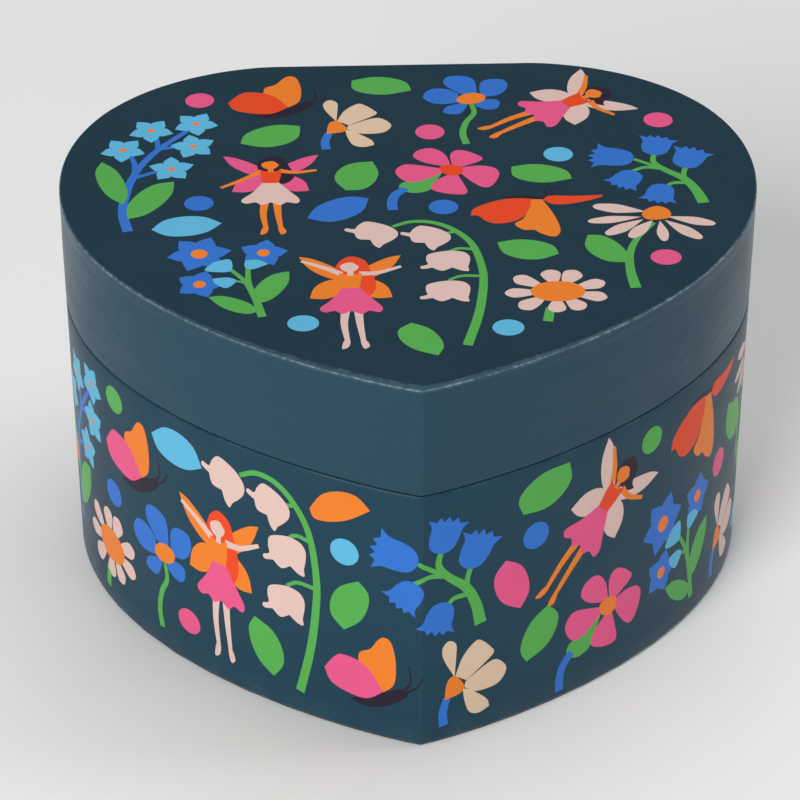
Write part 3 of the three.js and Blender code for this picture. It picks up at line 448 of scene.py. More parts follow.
SKIN = moulded_plastic("painted_figure_skin", "#EBC4B4", "#F6DACE", 0.38)
DRESS = moulded_plastic("painted_figure_pink", "#D9557F", "#EE7FA1", 0.42)
HAIR = moulded_plastic("painted_figure_hair", "#3A2620", "#55382D", 0.4)
SLIPPER = moulded_plastic("painted_figure_white", "#E9E3DD", "#FBF7F2", 0.4)
WOOD = sawn_pine()
FILM = tinted_acetate()


# ---- drawing: every shape is a closed outline in millimetres
def smooth_loop(points, corners=(), steps=5):
    """A closed curve through the points, sharp only at the corners."""
    count = len(points)
    ring = [Vector(p) for p in points]
    drawn = []
    for i in range(count):
        p0, p1, p2, p3 = (ring[(i + k - 1) % count] for k in range(4))
        leave = (p2 - p1) * 0.6 if i in corners else (p2 - p0) * 0.5
        arrive = (p2 - p1) * 0.6 if (i + 1) % count in corners else (p3 - p1) * 0.5
        for k in range(steps):
            t = k / steps
            drawn.append(p1 * (2 * t ** 3 - 3 * t ** 2 + 1) + leave * (t ** 3 - 2 * t ** 2 + t)
                         + p2 * (3 * t ** 2 - 2 * t ** 3) + arrive * (t ** 3 - t ** 2))
    return drawn


def smooth_line(points, steps=5):
    line = [Vector(p) for p in points]
    ends = [line[0] * 2 - line[1], *line, line[-1] * 2 - line[-2]]
    drawn = []
    for p0, p1, p2, p3 in zip(ends, ends[1:], ends[2:], ends[3:]):
        for k in range(steps):
            t = k / steps
            drawn.append(0.5 * (2 * p1 + (p2 - p0) * t + (2 * p0 - 5 * p1 + 4 * p2 - p3) * t ** 2
                                + (3 * p1 - p0 - 3 * p2 + p3) * t ** 3))
    return drawn + [line[-1]]


def stem(points, start_width, end_width):
    line = smooth_line(points)
    left, right = [], []
    for i, p in enumerate(line):
        way = (line[min(i + 1, len(line) - 1)] - line[max(i - 1, 0)]).normalized()
        half = (start_width + (end_width - start_width) * i / (len(line) - 1)) / 2
        across = Vector((-way.y, way.x)) * half
        left.append(p + across)
        right.append(p - across)
    return left + right[::-1]


def ellipse(x, y, rx, ry=None, turn=0.0, count=28):
    ry = ry or rx
    c, s = math.cos(math.radians(turn)), math.sin(math.radians(turn))
    drawn = []
    for i in range(count):
        a = 2 * math.pi * i / count
        u, v = rx * math.cos(a), ry * math.sin(a)
        drawn.append(Vector((x + u * c - v * s, y + u * s + v * c)))
    return drawn


def petal(root, tip, width, fullness=0.62):
    """A rounded petal, narrow at its root and widest at a share of its length."""
    a, b = Vector(root), Vector(tip)
    way = b - a
    side = Vector((-way.y, way.x)).normalized() * width / 2
    return smooth_loop([a, a + way * 0.3 + side * 0.62, a + way * fullness + side,
                        a + way * 0.92 + side * 0.62, b, a + way * 0.92 - side * 0.62,
                        a + way * fullness - side, a + way * 0.3 - side * 0.62], (0,), 4)


def leaf(a, left, b, right):
    """A leaf pointed at a and b, its sides passing through left and right."""
    a, left, b, right = (Vector(p) for p in (a, left, b, right))

    def side(p, q, middle):
        reach = (middle - (p + q) / 2) * 1.15
        return [p, p.lerp(middle, 0.42) + reach * 0.3, middle, q.lerp(middle, 0.42) + reach * 0.3]

    return smooth_loop(side(a, b, left) + side(b, a, right), (0, 4), 4)


# ---- the printed motifs, each in its own millimetres about a handy point
def dot(ink):
    return [(ink, ellipse(0, 0, 3.75))]


def one_leaf(ink, a, left, b, right):
    return [(ink, leaf(a, left, b, right))]


def little_flower(x, y, radius, petals, ink, turn, plump=0.86, middle=0.9):
    """Petals round an orange middle; slim ones end in a point."""
    drawn = []
    for i in range(petals):
        a = math.radians(turn) + 2 * math.pi * i / petals
        way = Vector((math.cos(a), math.sin(a)))
        side = Vector((-way.y, way.x)) * radius * plump / 2
        root = Vector((x, y))
        drawn.append((ink, smooth_loop([root, root + way * radius * 0.3 + side * 0.7,
                                        root + way * radius * 0.62 + side,
                                        root + way * radius * 1.04,
                                        root + way * radius * 0.62 - side,
                                        root + way * radius * 0.3 - side * 0.7], (0, 3), 4)))
    drawn.append(("orange", ellipse(x, y, middle, count=14)))
    return drawn


def forget_me_nots():
    drawn = [("blue", stem([(-3.4, -25.5), (-5, -17), (-4.5, -8), (-3, 0), (-0.5, 7), (3.5, 14),
                            (9, 21), (12, 25)], 2.6, 1.3)),
             ("blue", stem([(-2.6, 1), (-3.2, 8), (-6, 13)], 1.5, 1.1)),
             ("blue", stem([(2.8, 13.5), (2.4, 18), (0.8, 22)], 1.4, 1.1)),
             ("blue", stem([(3, 13.4), (7.5, 14.3), (11.5, 14.3)], 1.3, 1.1)),
             ("blue", stem([(-2.8, -0.5), (2, 2), (6, 3.5)], 1.4, 1.1)),
             ("green", leaf((-11.2, 7.5), (-11.6, -3), (-5, -13), (-5.2, -2))),
             ("green", leaf((7.3, -2.5), (-1.5, -8), (-3.8, -19.8), (4.4, -13.5)))]
    for x, y, turn in ((-6, 13.2, -20), (0.8, 22.6, -15), (12.2, 25.7, -10), (11.8, 14.5, 30),
                       (6.5, 3.6, 92)):
        drawn += little_flower(x, y, 5.7, 5, "sky", turn, 0.7)
    return drawn


def butterfly(hind):
    return [("plum", stem([(11.2, -4.6), (13.6, -1.2), (13.2, 3.6)], 0.7, 0.45)),
            ("plum", stem([(11.4, -4.9), (15.0, -2.6), (16.6, 0.4)], 0.7, 0.45)),
            ("plum", smooth_loop([(-2.6, -10.4), (3, -11.2), (8.6, -9), (12.6, -5.6), (12.9, -3.9),
                                  (11, -3.6), (8, -5), (5, -6)], (0,))),
            ("orange", smooth_loop([(0, 1.6), (0.4, 4.4), (3.2, 6.2), (5, 9), (6.6, 10.4),
                                    (8.6, 9.4), (9.8, 4), (9.4, -2.5), (6.6, -5.8)], (0, 8))),
            (hind, smooth_loop([(-9.2, -3), (-6.8, 0.6), (-4.4, 2.3), (0.4, 1.6), (3.6, -1),
                                (6.4, -5.8), (2, -8.9), (-3.6, -8.4), (-7.6, -6.6)], (0, 5)))]


def blue_flower():
    return [("green", stem([(0.2, -3), (0.6, -7.6), (-1.6, -12), (-2.8, -17.6), (-2.1, -23)],
                           1.3, 1.9)),
            ("blue", smooth_loop([(-2.2, 2.2), (-6.4, 7.4), (-5.8, 11.2), (-2, 12), (1.4, 9.8),
                                  (1.9, 3)], (0, 5))),
            ("blue", smooth_loop([(2.6, 3.4), (3, 7.8), (5.4, 9.9), (9.3, 9.4), (10, 5.6),
                                  (7.6, 1.8), (3.6, 0.8)], (0, 6))),
            ("blue", smooth_loop([(-3, 2.8), (-6.2, 5.2), (-10.2, 5.1), (-12.3, 1.4), (-10.6, -1.6),
                                  (-7.6, -2.7), (-3.2, -2)], (0, 6))),
            ("blue", smooth_loop([(-2.8, -2.4), (-6.2, -4), (-7.4, -6.6), (-5.6, -7.9),
                                  (-3, -7.7), (-1.6, -5.2), (-0.8, -3)], (0, 6))),
            ("blue", smooth_loop([(1, -2.8), (3, -0.8), (6.2, -0.6), (7.6, -2.1), (6.6, -5.3),
                                  (4, -5.8), (1.4, -4.2)], (0, 6))),
            ("orange", ellipse(0.2, 0, 3.9, 2.75, 18))]


def half_daisy(ink="beige"):
    return [("blue", stem([(-1.6, -4), (-2.6, -8), (-2.4, -12)], 2, 2.4)),
            (ink, smooth_loop([(0.3, 2), (-2.4, 7.6), (-2.8, 11), (-1.2, 12.8), (0.7, 11.4),
                               (0.8, 8), (0.4, 2)], (0, 6))),
            (ink, smooth_loop([(0.6, 2), (2.6, 7.2), (6, 10.6), (8.2, 9.6), (10.9, 6.3),
                               (10.2, 4.6), (3.6, -0.2)], (0, 4, 6))),
            (ink, smooth_loop([(3.4, -0.4), (9, 2.8), (12, 3), (14.5, -0.3), (13, -3.6),
                               (10, -4.6), (5.6, -4.2), (3, -2)], (0, 7))),
            (ink, smooth_loop([(2.6, -2.2), (3.1, -6), (4.4, -9.9), (7, -11.2), (9.9, -10.2),
                               (9.2, -7.8), (5.6, -4.2)], (0, 4))),
            ("orange", smooth_loop([(-1.9, -1), (-1.2, 1.4), (0.5, 2.4), (2.9, -1.3), (2, -3.5),
                                    (-2.2, -4.3)], (2, 5)))]


def pink_flower(middle="red"):
    return [("green", smooth_loop([(-2.2, -1.4), (-8.6, -4.6), (-12.6, -6), (-13, -9),
                                   (-9.8, -10.8), (-6, -9.8), (-4.6, -7)], (0,))),
            ("blue", stem([(-11.6, -8.6), (-14.2, -11.4), (-15.2, -15), (-15.1, -18.6)], 2.4, 2.6)),
            ("pink", smooth_loop([(-1.8, 1.8), (-6.6, 3.8), (-9.2, 6.8), (-7.8, 9.8), (-4.2, 10.6),
                                  (-1.2, 7.6), (0, 2.6)], (0, 6))),
            ("pink", smooth_loop([(0.4, 2.6), (0.2, 7.2), (1.8, 9.4), (4.4, 9), (8, 6),
                                  (7.6, 4.1), (3, 1.4)], (0, 6))),
            ("pink", smooth_loop([(2.6, 1), (7.2, 1.8), (11, 0.6), (12.1, -2.6), (10.2, -7.6),
                                  (7.8, -8.6), (4.8, -5.6), (2.3, -1.4)], (0, 7))),
            ("pink", smooth_loop([(1.6, -2.2), (3, -7), (3.7, -10.6), (2.2, -11.9), (-2.2, -11.1),
                                  (-5.2, -9), (-4.2, -5.4), (-0.8, -2.4)], (0, 7))),
            ("pink", smooth_loop([(-2.2, 0.6), (-7.8, 2.4), (-11.8, 2.8), (-14, -0.6),
                                  (-11.8, -5), (-8.2, -5.4), (-2.4, -1.6)], (0, 6))),
            (middle, smooth_loop([(-2.8, 1.2), (-0.3, 2.5), (2.7, 1.5), (2.8, -1.6), (0.7, -2.9),
                                  (-2, -1.6)]))]


def bell(x, y, turn, size=1.0):
    """One bell flower with its stalk end at (x, y), opening towards turn."""
    c, s = math.cos(math.radians(turn - 90)) * size, math.sin(math.radians(turn - 90)) * size
    points = [(0, 0), (-3.3, 1.4), (-4.4, 4.6), (-4.7, 8), (-6.3, 10.4), (-3.7, 9.9), (-2.9, 11.5),
              (-1.5, 10.2), (-0.5, 11.9), (0.8, 10.2), (2.2, 11.6), (3.2, 9.9), (6, 10.2),
              (4.5, 8), (4.2, 4.6), (3.1, 1.4)]
    turned = [(x + u * c - v * s, y + u * s + v * c) for u, v in points]
    return ("blue", smooth_loop(turned, tuple(range(4, 13)), 4))


def bluebells():
    return [("green", stem([(0, 0), (-1.3, 6.2), (-3.8, 11.7), (-8.3, 16.2), (-10.6, 20),
                            (-10, 24)], 3.0, 1.2)),
            ("green", stem([(-15.4, 21.4), (-12, 18.9), (-8.4, 16.2)], 1.1, 1.3)),
            ("green", stem([(-16.4, 15.6), (-13, 17.3), (-8.8, 16.6)], 1.1, 1.4)),
            ("green", stem([(-2.6, 17.6), (-3.6, 13.6), (-3.4, 9.6)], 1.3, 1.4)),
            ("green", stem([(-8.4, 8), (-6.6, 9.6), (-2.6, 9.6)], 1.1, 1.4)),
            bell(-15.4, 21.6, 168, 0.98), bell(-10.4, 23.2, 74, 0.84), bell(-3.4, 16.8, 66, 0.9),
            bell(-15.6, 15.6, 236, 0.8), bell(-9.2, 9.2, 254, 0.8)]


def lily_bell(x, y, turn, size=1.0):
    c, s = math.cos(math.radians(turn)) * size, math.sin(math.radians(turn)) * size
    points = [(0, 0), (-4.6, -1.4), (-5.3, -4), (-5, -6), (-6.8, -6.9), (-6.4, -8), (-3.9, -7.5),
              (-1.6, -9), (1, -7.6), (3.2, -9), (5, -9.2), (4.9, -7.4), (5.4, -5), (5.4, -2.4),
              (3.8, -0.5)]
    turned = [(x + u * c - v * s, y + u * s + v * c) for u, v in points]
    return ("blush", smooth_loop(turned, (6, 8), 4))


def lily_of_the_valley():
    return [("green", stem([(0, 0), (3.3, 13), (5, 25), (5.1, 33), (3.3, 43.2), (-0.7, 49.8),
                            (-5.7, 53.5), (-11.2, 54.1), (-15.9, 52)], 2.4, 1.1)),
            ("green", stem([(-3.2, 39.6), (-0.2, 41.6), (4, 41)], 0.9, 1.1)),
            ("green", stem([(-3.2, 27.6), (0, 29.4), (5, 29.2)], 0.9, 1.1)),
            ("green", stem([(-4.4, 48.6), (-2, 48.8), (-0.6, 49.4)], 1.0, 1.1)),
            lily_bell(-17.6, 52.8, -38, 1.0), lily_bell(-4.6, 50.6, -38, 0.94),
            lily_bell(-3, 40.6, 0, 0.98), lily_bell(-3.6, 27.4, 0, 0.98)]


def blue_sprig():
    drawn = [("green", stem([(0, 0), (-1.4, 7), (-3.2, 14), (-3.5, 22)], 2.1, 1.2)),
             ("green", stem([(-7.6, 20.6), (-4.4, 15.8), (-2.8, 11.4)], 1.1, 1.3)),
             ("green", stem([(-7, 15.7), (-4.6, 15), (-3.2, 13.4)], 0.8, 0.9)),
             ("green", leaf((6.4, 19.4), (-0.6, 14.6), (-1.8, 5.6), (4.4, 10.4))),
             ("green", leaf((-12.8, 8.8), (-6.2, 8), (-0.8, 2.6), (-6.6, 2.4)))]
    for x, y, radius, turn in ((-15.3, 27.8, 7.6, 70), (0.2, 27.8, 5.8, 80), (-15, 14.4, 5.7, 75)):
        petals, plump = (6, 0.66) if radius > 7 else (5, 0.76)
        drawn += little_flower(x, y, radius, petals, "blue", turn, plump, 0.27 * radius)
    drawn += [("sky", smooth_loop([(-11.8, 24), (-8, 25.2), (-7.2, 21.6), (-8.4, 19.6),
                                   (-13.8, 20.4)], (0,))),
              ("sky", smooth_loop([(-4.2, 24.6), (-1, 24.8), (1.4, 22.8), (-2.4, 20.6),
                                   (-4.2, 21.8)], (0, 2))),
              ("sky", smooth_loop([(-11.8, 16.8), (-8.2, 17.2), (-6.2, 15.6), (-8.6, 12.6),
                                   (-11.4, 14.8)], (0,)))]
    return drawn


def full_daisy():
    drawn = [("green", stem([(-2.2, -7), (-3.2, -12.6)], 2.2, 2.4))]
    for tip, width in (((-1.4, 9.5), 4.9), ((5.2, 9), 4.9), ((11.6, 3.8), 4.2),
                       ((11.6, -3), 4.2), ((5.6, -7.9), 4.4), ((-0.8, -8.9), 4.4),
                       ((-9.4, -7), 4.6), ((-12.6, -0.4), 4), ((-10, 6.6), 4.4)):
        drawn.append(("blush", petal((tip[0] * 0.3, tip[1] * 0.3), tip, width, 0.72)))
    return drawn + [("orange", ellipse(0.1, 0.1, 6.5, 4.4))]


def fan_daisy():
    drawn = [("green", stem([(-0.5, -4.5), (-5, -11), (-7.6, -18), (-8.2, -26), (-7.6, -33.4)],
                           1.1, 2.7)),
             ("green", leaf((-8.2, -22.2), (-16.6, -18.6), (-17.2, -9.6), (-10.6, -13)))]
    for root, tip, width in (((-2, 0.6), (-14.9, 3.6), 4.1), ((-3.4, -1.8), (-16.7, -3.5), 3.2),
                             ((-3, -2.9), (-12.8, -9.6), 3.6), ((-0.8, -3.4), (-7, -11.2), 3.6),
                             ((1, -3.8), (1.3, -13), 2.9), ((2.2, -3.4), (10.4, -12.2), 3.7),
                             ((3, -1.8), (14.5, -5.6), 3.5)):
        drawn.append(("blush", petal(root, tip, width, 0.6)))
    return drawn + [("orange", smooth_loop([(-3.1, -0.4), (-1.6, 2), (1.4, 3.1), (3.8, 1),
                                            (3.6, -2.2), (0, -3.2), (-2.4, -2.6)]))]


def moth():
    return [("plum", stem([(4, 7), (5.6, 9.8), (8, 11.2)], 0.5, 0.35)),
            ("plum", stem([(4, 7), (3.8, 9.6), (5, 11.8)], 0.5, 0.35)),
            ("plum", smooth_loop([(-7.4, 6.6), (-2, 7.1), (4, 6.6), (5.4, 8.4), (6, 7.4),
                                  (5, 5.6), (0, 5.2), (-5, 5.6)], (0, 3))),
            ("red", smooth_loop([(3, 5), (5, 6.8), (11, 6.5), (18, 6.8), (17.6, 5.9), (14, 4.2),
                                 (9, 2.8), (5.2, 3)], (0, 3))),
            ("orange", smooth_loop([(0, 5.3), (2.8, 5.2), (5, -1), (6.4, -8), (5.7, -11.4),
                                    (4, -12), (1.4, -10.4), (0, -8.9), (-2.6, -8.7), (-4.6, -6),
                                    (-2, -3)], (0, 1))),
            ("red", smooth_loop([(-15.2, -1.8), (-14.4, 1.2), (-10, 4.2), (-5, 5.8), (0, 5.6),
                                 (-0.3, 2), (-2, -2.4), (-5, -4.9), (-9, -5.7), (-11.6, -4.4),
                                 (-13.4, -2)], (0, 4)))]


def winged_figure(skin, hair, top, skirt, wing, hair_length, arms=((-13, -1.5), (12, 7))):
    """A plain paper-doll figure with leaf-shaped wings and no face, its waist at (0, 0)."""
    (left_x, left_y), (right_x, right_y) = arms
    long_hair = smooth_loop([(-2.8, 12.2), (0, 14.8), (3.4, 13.2), (4.7, 9.6),
                             (6.2, 12 - hair_length * 0.68), (3.4, 12 - hair_length),
                             (-0.4, 12 - hair_length * 0.8), (-3.4, 8)])
    return [(wing, leaf((0, 5), (-5.8, 11.6), (-12.6, 15), (-7, 6.4))),
            (wing, leaf((0, 5), (7, 6.4), (12.6, 15), (5.8, 11.6))),
            (wing, leaf((-0.6, 3), (-6.6, 3.6), (-10, -3.6), (-3.4, -2.6))),
            (wing, leaf((0.6, 3), (3.4, -2.6), (10, -3.6), (6.6, 3.6))),
            (hair, long_hair),
            (skin, stem([(-1.4, -8), (-1.9, -15), (-1.2, -22.5)], 2.3, 1.2)),
            (skin, stem([(1.6, -8), (1.9, -15), (2.6, -22.5)], 2.3, 1.2)),
            (skin, smooth_loop([(-2, -22), (-0.6, -22), (-1, -24.6), (-2.6, -25.4)])),
            (skin, smooth_loop([(1.9, -22), (3.2, -22), (4, -24.4), (2.6, -25.4)])),
            (skirt, smooth_loop([(-2, 1), (-4.6, -4), (-7.6, -8), (-6.4, -9.8), (-4, -9.2),
                                 (-2.2, -10.6), (0, -9.4), (2.4, -10.8), (4.2, -9.4), (6.8, -10),
                                 (7.4, -7.8), (4.8, -3.6), (2, 1)], (0, 12))),
            (skin, stem([(-2.2, 7), (left_x * 0.55, (7 + left_y) * 0.5), (left_x, left_y)],
                        1.9, 1.0)),
            (skin, stem([(2.2, 7), (right_x * 0.55, (6 + right_y) * 0.46), (right_x, right_y)],
                        1.9, 1.0)),
            (top, smooth_loop([(-2.8, 7.4), (0, 6.4), (2.8, 7.4), (2.6, 4), (2, 0.6), (-2, 0.6),
                               (-2.6, 4)], (0, 2, 4, 5))),
            (skin, stem([(0, 6.2), (0, 9)], 1.6, 1.4)),
            (skin, ellipse(-0.2, 10.4, 2.3, 2.6)),
            (hair, smooth_loop([(-2.7, 10.6), (-2.6, 12.8), (0, 14), (2.6, 12.8), (2.9, 9.8),
                                (1.7, 10.8), (0.6, 12), (-1.2, 11.8)], (0, 4)))]


def dark_haired():
    return winged_figure("orange", "plum", "red", "blush", "pink", 12)


def red_haired():
    return winged_figure("blush", "red", "orange", "pink", "orange", 16, ((-12, 13), (12.5, 10)))


def flying():
    return winged_figure("orange", "plum", "red", "pink", "blush", 5, ((-9, 14), (11.5, 8)))


# ---- where the motifs lie: on the lid in (x, y), on the base in (distance round, height)
def put(motif, x, y, wide=1.0, tall=None, turn=0.0):
    tall = wide if tall is None else tall
    c, s = math.cos(math.radians(turn)), math.sin(math.radians(turn))
    return [(ink, [Vector((x + (p.x * c - p.y * s) * wide, y + (p.x * s + p.y * c) * tall))
                   for p in outline]) for ink, outline in motif]


def at_once(*groups):
    return [shape for group in groups for shape in group]


LID_PRINT = at_once(put(dot("pink"), -53, 57.7), put(butterfly("red"), -36.4, 59.2),
    put(blue_flower(), 17.5, 56.5),
    one_leaf("green", (-13.2, 66.8), (-9.6, 60), (2.2, 61.2), (-2.6, 67.8)),
    put(flying(), 41.5, 52.5, 1.0, turn=-58), put(dot("pink"), 65.4, 44),
    put(forget_me_nots(), -66, 20), put(half_daisy(), -18, 44), put(dot("pink"), 6.3, 39.8),
    one_leaf("green", (-42.2, 35.5), (-37.4, 43), (-27, 43.8), (-31, 34.8)),
    put(pink_flower(), 10.8, 21), put(dot("sky"), 38.4, 27.7, 1, 0.95),
    one_leaf("green", (26.2, 22), (29.6, 15), (41, 15.8), (36.4, 22)), put(bluebells(), 72.8, 3.3),
    put(dark_haired(), -34.5, 15.5, 0.96, 0.92),
    one_leaf("green", (-8.8, 25.7), (-17.6, 21.4), (-15.8, 12), (-8.6, 15.6)),
    put(dot("blue"), -52.3, 7, 0.98, 0.92), put(moth(), 30, 1),
    one_leaf("sky", (-63.7, -4.8), (-56, 1), (-46.5, -2.4), (-55, -8)),
    one_leaf("blue", (-25.5, -0.8), (-19.4, 7.4), (-10.2, 8), (-15.6, -1.2)),
    put(dot("blue"), 8.2, 3.4, 0.98, 0.9), put(fan_daisy(), 60.1, -1),
    put(dot("pink"), 61, -21.2, 1, 0.91), put(lily_of_the_valley(), 11.2, -57.3),
    put(blue_sprig(), -36.5, -44), put(red_haired(), -15.4, -33, 0.98, 0.98),
    one_leaf("green", (20.6, -13.3), (25.4, -20.6), (35.2, -18.9), (30.6, -13)),
    put(full_daisy(), 33.7, -35.4), put(dot("sky"), -26.9, -47, 1, 0.9),
    put(dot("sky"), 21.1, -50.3, 1, 0.9),
    one_leaf("green", (-1.6, -47.6), (-4.3, -54.6), (4.2, -61.3), (4.8, -53.6)))

# the base's front, left of the tip
LEFT_PRINT = at_once(put(forget_me_nots(), -117.2, 39.6, 1, 1.04), put(dot("green"), -92.4, 69.1),
    put(butterfly("pink"), -88.4, 57.2, 1, 1.05), put(dot("blue"), -95.2, 38.6, 0.96, 1.04),
    one_leaf("sky", (-77, 67.6), (-70.4, 62), (-60, 65), (-67, 72.2)),
    put(full_daisy(), -98.4, 20, 0.98, 1.2), put(blue_flower(), -74.6, 31.6, 0.98, 1.08),
    put(dot("pink"), -66.6, 14), put(red_haired(), -55.6, 37, 0.98, 1.16),
    put(lily_of_the_valley(), -32.4, 7.2, 1, 1.17), put(dot("sky"), -19.6, 55.4, 1, 1.04),
    one_leaf("orange", (-28.7, 65.6), (-23.6, 63.2), (-12.8, 69.7), (-21, 73)),
    one_leaf("green", (-16, 47.6), (-23.4, 39.8), (-20, 31.4), (-13.6, 40)),
    one_leaf("green", (-45.2, 26), (-46.5, 17), (-40, 9), (-37.4, 19)),
    put(butterfly("pink"), -16.2, 21, 1, 1.07))
# the base's front, round the tip and to its right
RIGHT_PRINT = at_once(put(bluebells(), 15.7, 34, 1.07), put(half_daisy(), 8.4, 17.6, 1.02, 1.07),
    one_leaf("green", (27, 62.9), (28, 71), (40, 73.4), (38, 64.6)),
    put(dot("blue"), 30.8, 55.2, 0.98, 1.04),
    one_leaf("pink", (22.4, 50.8), (19.6, 42.4), (26.8, 34.4), (28.8, 43.4)),
    one_leaf("green", (35, 32), (28, 25), (29, 16.6), (37.6, 23.4)),
    put(flying(), 50.6, 54, 1.0, 1.1, turn=-44), put(dot("green"), 67, 67.6, 0.96, 1.02),
    put(pink_flower("orange"), 54, 22.8, 0.97, 1.1), put(moth(), 89.2, 62.2, 0.95, 1.2),
    put(blue_sprig(), 88, 6, 0.97, 1.17), put(dot("pink"), 99.6, 42, 0.94, 1.08),
    put(half_daisy("blush"), 101.8, 17.6, 0.98, 1.07),
    one_leaf("green", (104.4, 57), (104.8, 47), (113, 42), (112, 50.6)),
    put(fan_daisy(), 124, 64, 0.9, 0.95))
# the base's sides and back, which carry on the same print
BACK_PRINT = at_once(one_leaf("green", (118.6, 34), (122, 25), (133, 24), (130, 33)),
    put(dot("sky"), 121, 10), put(blue_flower(), 144, 56, 0.98, 1.06), put(dot("pink"), 134, 42),
    put(butterfly("red"), 140, 18, 1, 1.05),
    one_leaf("sky", (157, 73), (153, 64), (160, 58), (163, 66)),
    put(dark_haired(), 166, 34, 0.98, 1.1), put(dot("green"), 156, 12),
    put(lily_of_the_valley(), 203, 7.6, 1, 1.16), put(dot("orange"), 179, 66),
    put(half_daisy(), 180, 17, 1, 1.05),
    one_leaf("green", (210, 36), (213, 27), (223, 25), (220, 34)),
    put(pink_flower(), 222, 56, 0.97, 1.08), put(dot("blue"), 212, 68),
    put(full_daisy(), 213, 16, 0.98, 1.15), put(butterfly("pink"), 252, 62, 1, 1.04),
    put(dot("sky"), 240, 40), one_leaf("green", (259, 48), (260.4, 40), (268.5, 37), (267, 45)),
    one_leaf("orange", (233, 25), (236, 18), (245, 16), (243, 24)),
    put(bluebells(), -218, 30, 1.05), put(half_daisy("blush"), -232, 17, 1, 1.05),
    put(dot("pink"), -226, 69), one_leaf("green", (-209, 24), (-206, 15), (-196, 13), (-199, 22)),
    put(moth(), -200, 56, 0.96, 1.15), put(dot("blue"), -188, 40),
    put(blue_flower(), -182, 30, 0.98, 1.06), put(flying(), -172, 56, 0.96, 1.05, turn=-38),
    put(dot("sky"), -162, 13), put(butterfly("red"), -154, 32, 1, 1.05),
    put(full_daisy(), -141, 60, 0.98, 1.15),
    one_leaf("green", (-150, 52), (-158, 47), (-157, 38), (-149, 44)),
    one_leaf("pink", (-140, 26), (-142, 17), (-134, 10), (-131, 19)), put(dot("orange"), -126, 33))

BASE_PRINT = LEFT_PRINT + RIGHT_PRINT + BACK_PRINT

# the holes for the winding arbor and the three screws, by their distance from the back's middle
ARBOR_HOLE = 2.8
SCREW_HOLE = 1.35
BACK_HOLES = [(0.0, KEY_HEIGHT, ARBOR_HOLE)]
for i in (1, 2, 3):
    low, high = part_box(f"movement_screw_{i}")
    BACK_HOLES.append((-(low.x + high.x) / 2 / MM, (low.z + high.z) / 2 / MM, SCREW_HOLE))


# ---- mesh helpers
def add_piece(name, points, faces, material, body, smooth=True, normals=None, uv=None):
    """A mesh piece from points in millimetres, riding on a body."""
    mesh = bpy.data.meshes.new(name)
    mesh.from_pydata([Vector(p) * MM for p in points], [], faces)
    mesh.materials.append(material)
    if uv is not None:
        layer = mesh.uv_layers.new(name="millimetres")
        for loop in mesh.loops:
            layer.data[loop.index].uv = uv[loop.vertex_index]
    if smooth:
        mesh.polygons.foreach_set("use_smooth", [True] * len(mesh.polygons))
    if normals is not None:
        mesh.normals_split_custom_set_from_vertices(normals)
    mesh.update()
    piece = bpy.data.objects.new(name, mesh)
    bpy.context.scene.collection.objects.link(piece)
    if body:
        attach(piece, body)
    return piece


def tidy(piece, near_mm=0.004):
    """Merges points that meet, drops loose ones and turns every face outwards."""
    work = bmesh.new()
    work.from_mesh(piece.data)
    bmesh.ops.remove_doubles(work, verts=work.verts, dist=near_mm * MM)
    bmesh.ops.dissolve_degenerate(work, edges=work.edges, dist=near_mm * MM / 2)
    loose = [v for v in work.verts if not v.link_faces]
    bmesh.ops.delete(work, geom=loose, context="VERTS")
    bmesh.ops.recalc_face_normals(work, faces=work.faces)
    work.to_mesh(piece.data)
    work.free()
    return piece


def loft(name, rings, material, body, caps=(False, False), smooth=True, uv=None):
    """A skin over closed rings of equal length, with flat ends where caps are set."""
    count = len(rings[0])
    points = [p for ring in rings for p in ring]
    faces = []
    for r in range(len(rings) - 1):
        for i in range(count):
            j = (i + 1) % count
            faces.append((r * count + i, r * count + j, (r + 1) * count + j, (r + 1) * count + i))
    if caps[0]:
        faces.append(tuple(range(count))[::-1])
    if caps[1]:
        faces.append(tuple((len(rings) - 1) * count + i for i in range(count)))
    return tidy(add_piece(name, points, faces, material, body, smooth, uv=uv))


def cut_sheet(edge, shapes, holes, folds):
    """Cuts a flat sheet along every printed outline, and along the folds, where it bends.
    Gives its points, and for each ink its triangles."""
    points, faces, inks = list(edge), [tuple(range(len(edge)))], ["ground"]
    for ink, outline in shapes + [("hole", h) for h in holes]:
        if sum(a.cross(b) for a, b in zip(outline, outline[1:] + outline[:1])) < 0:
            outline = outline[::-1]
        faces.append(tuple(range(len(points), len(points) + len(outline))))
        points += outline
        inks.append(ink)
    lines = [(len(points) + 2 * i, len(points) + 2 * i + 1) for i in range(len(folds))]
    points += [p for fold in folds for p in fold]
    flat, _, cells, _, _, owners = delaunay_2d_cdt(points, lines, faces, 1, 1e-4)
    by_ink = {}
    for cell, owner in zip(cells, owners):
        if 0 in owner:
            by_ink.setdefault(inks[max(owner)], []).append(tuple(cell))
    by_ink.pop("hole", None)
    return flat, by_ink


class Profile:
    """A section through a wrapped wall: inset and height by distance t along the paper."""

    def __init__(self, points, zero_at):
        self.points = [Vector(p) for p in points]
        along = [0.0]
        for a, b in zip(self.points, self.points[1:]):
            along.append(along[-1] + (b - a).length)
        shift = along[zero_at[0]] - zero_at[1]
        self.along = [a - shift for a in along]

    def at(self, t):
        i = min(max(bisect.bisect_right(self.along, t) - 1, 0), len(self.points) - 2)
        a, b = self.points[i], self.points[i + 1]
        share = min(max((t - self.along[i]) / (self.along[i + 1] - self.along[i]), 0), 1)
        return a.lerp(b, share), (b - a).normalized()


def rounded(centre, radius, start, end, steps=6):
    angles = [math.radians(start + (end - start) * i / steps) for i in range(steps + 1)]
    return [(centre[0] + radius * math.cos(a), centre[1] + radius * math.sin(a)) for a in angles]


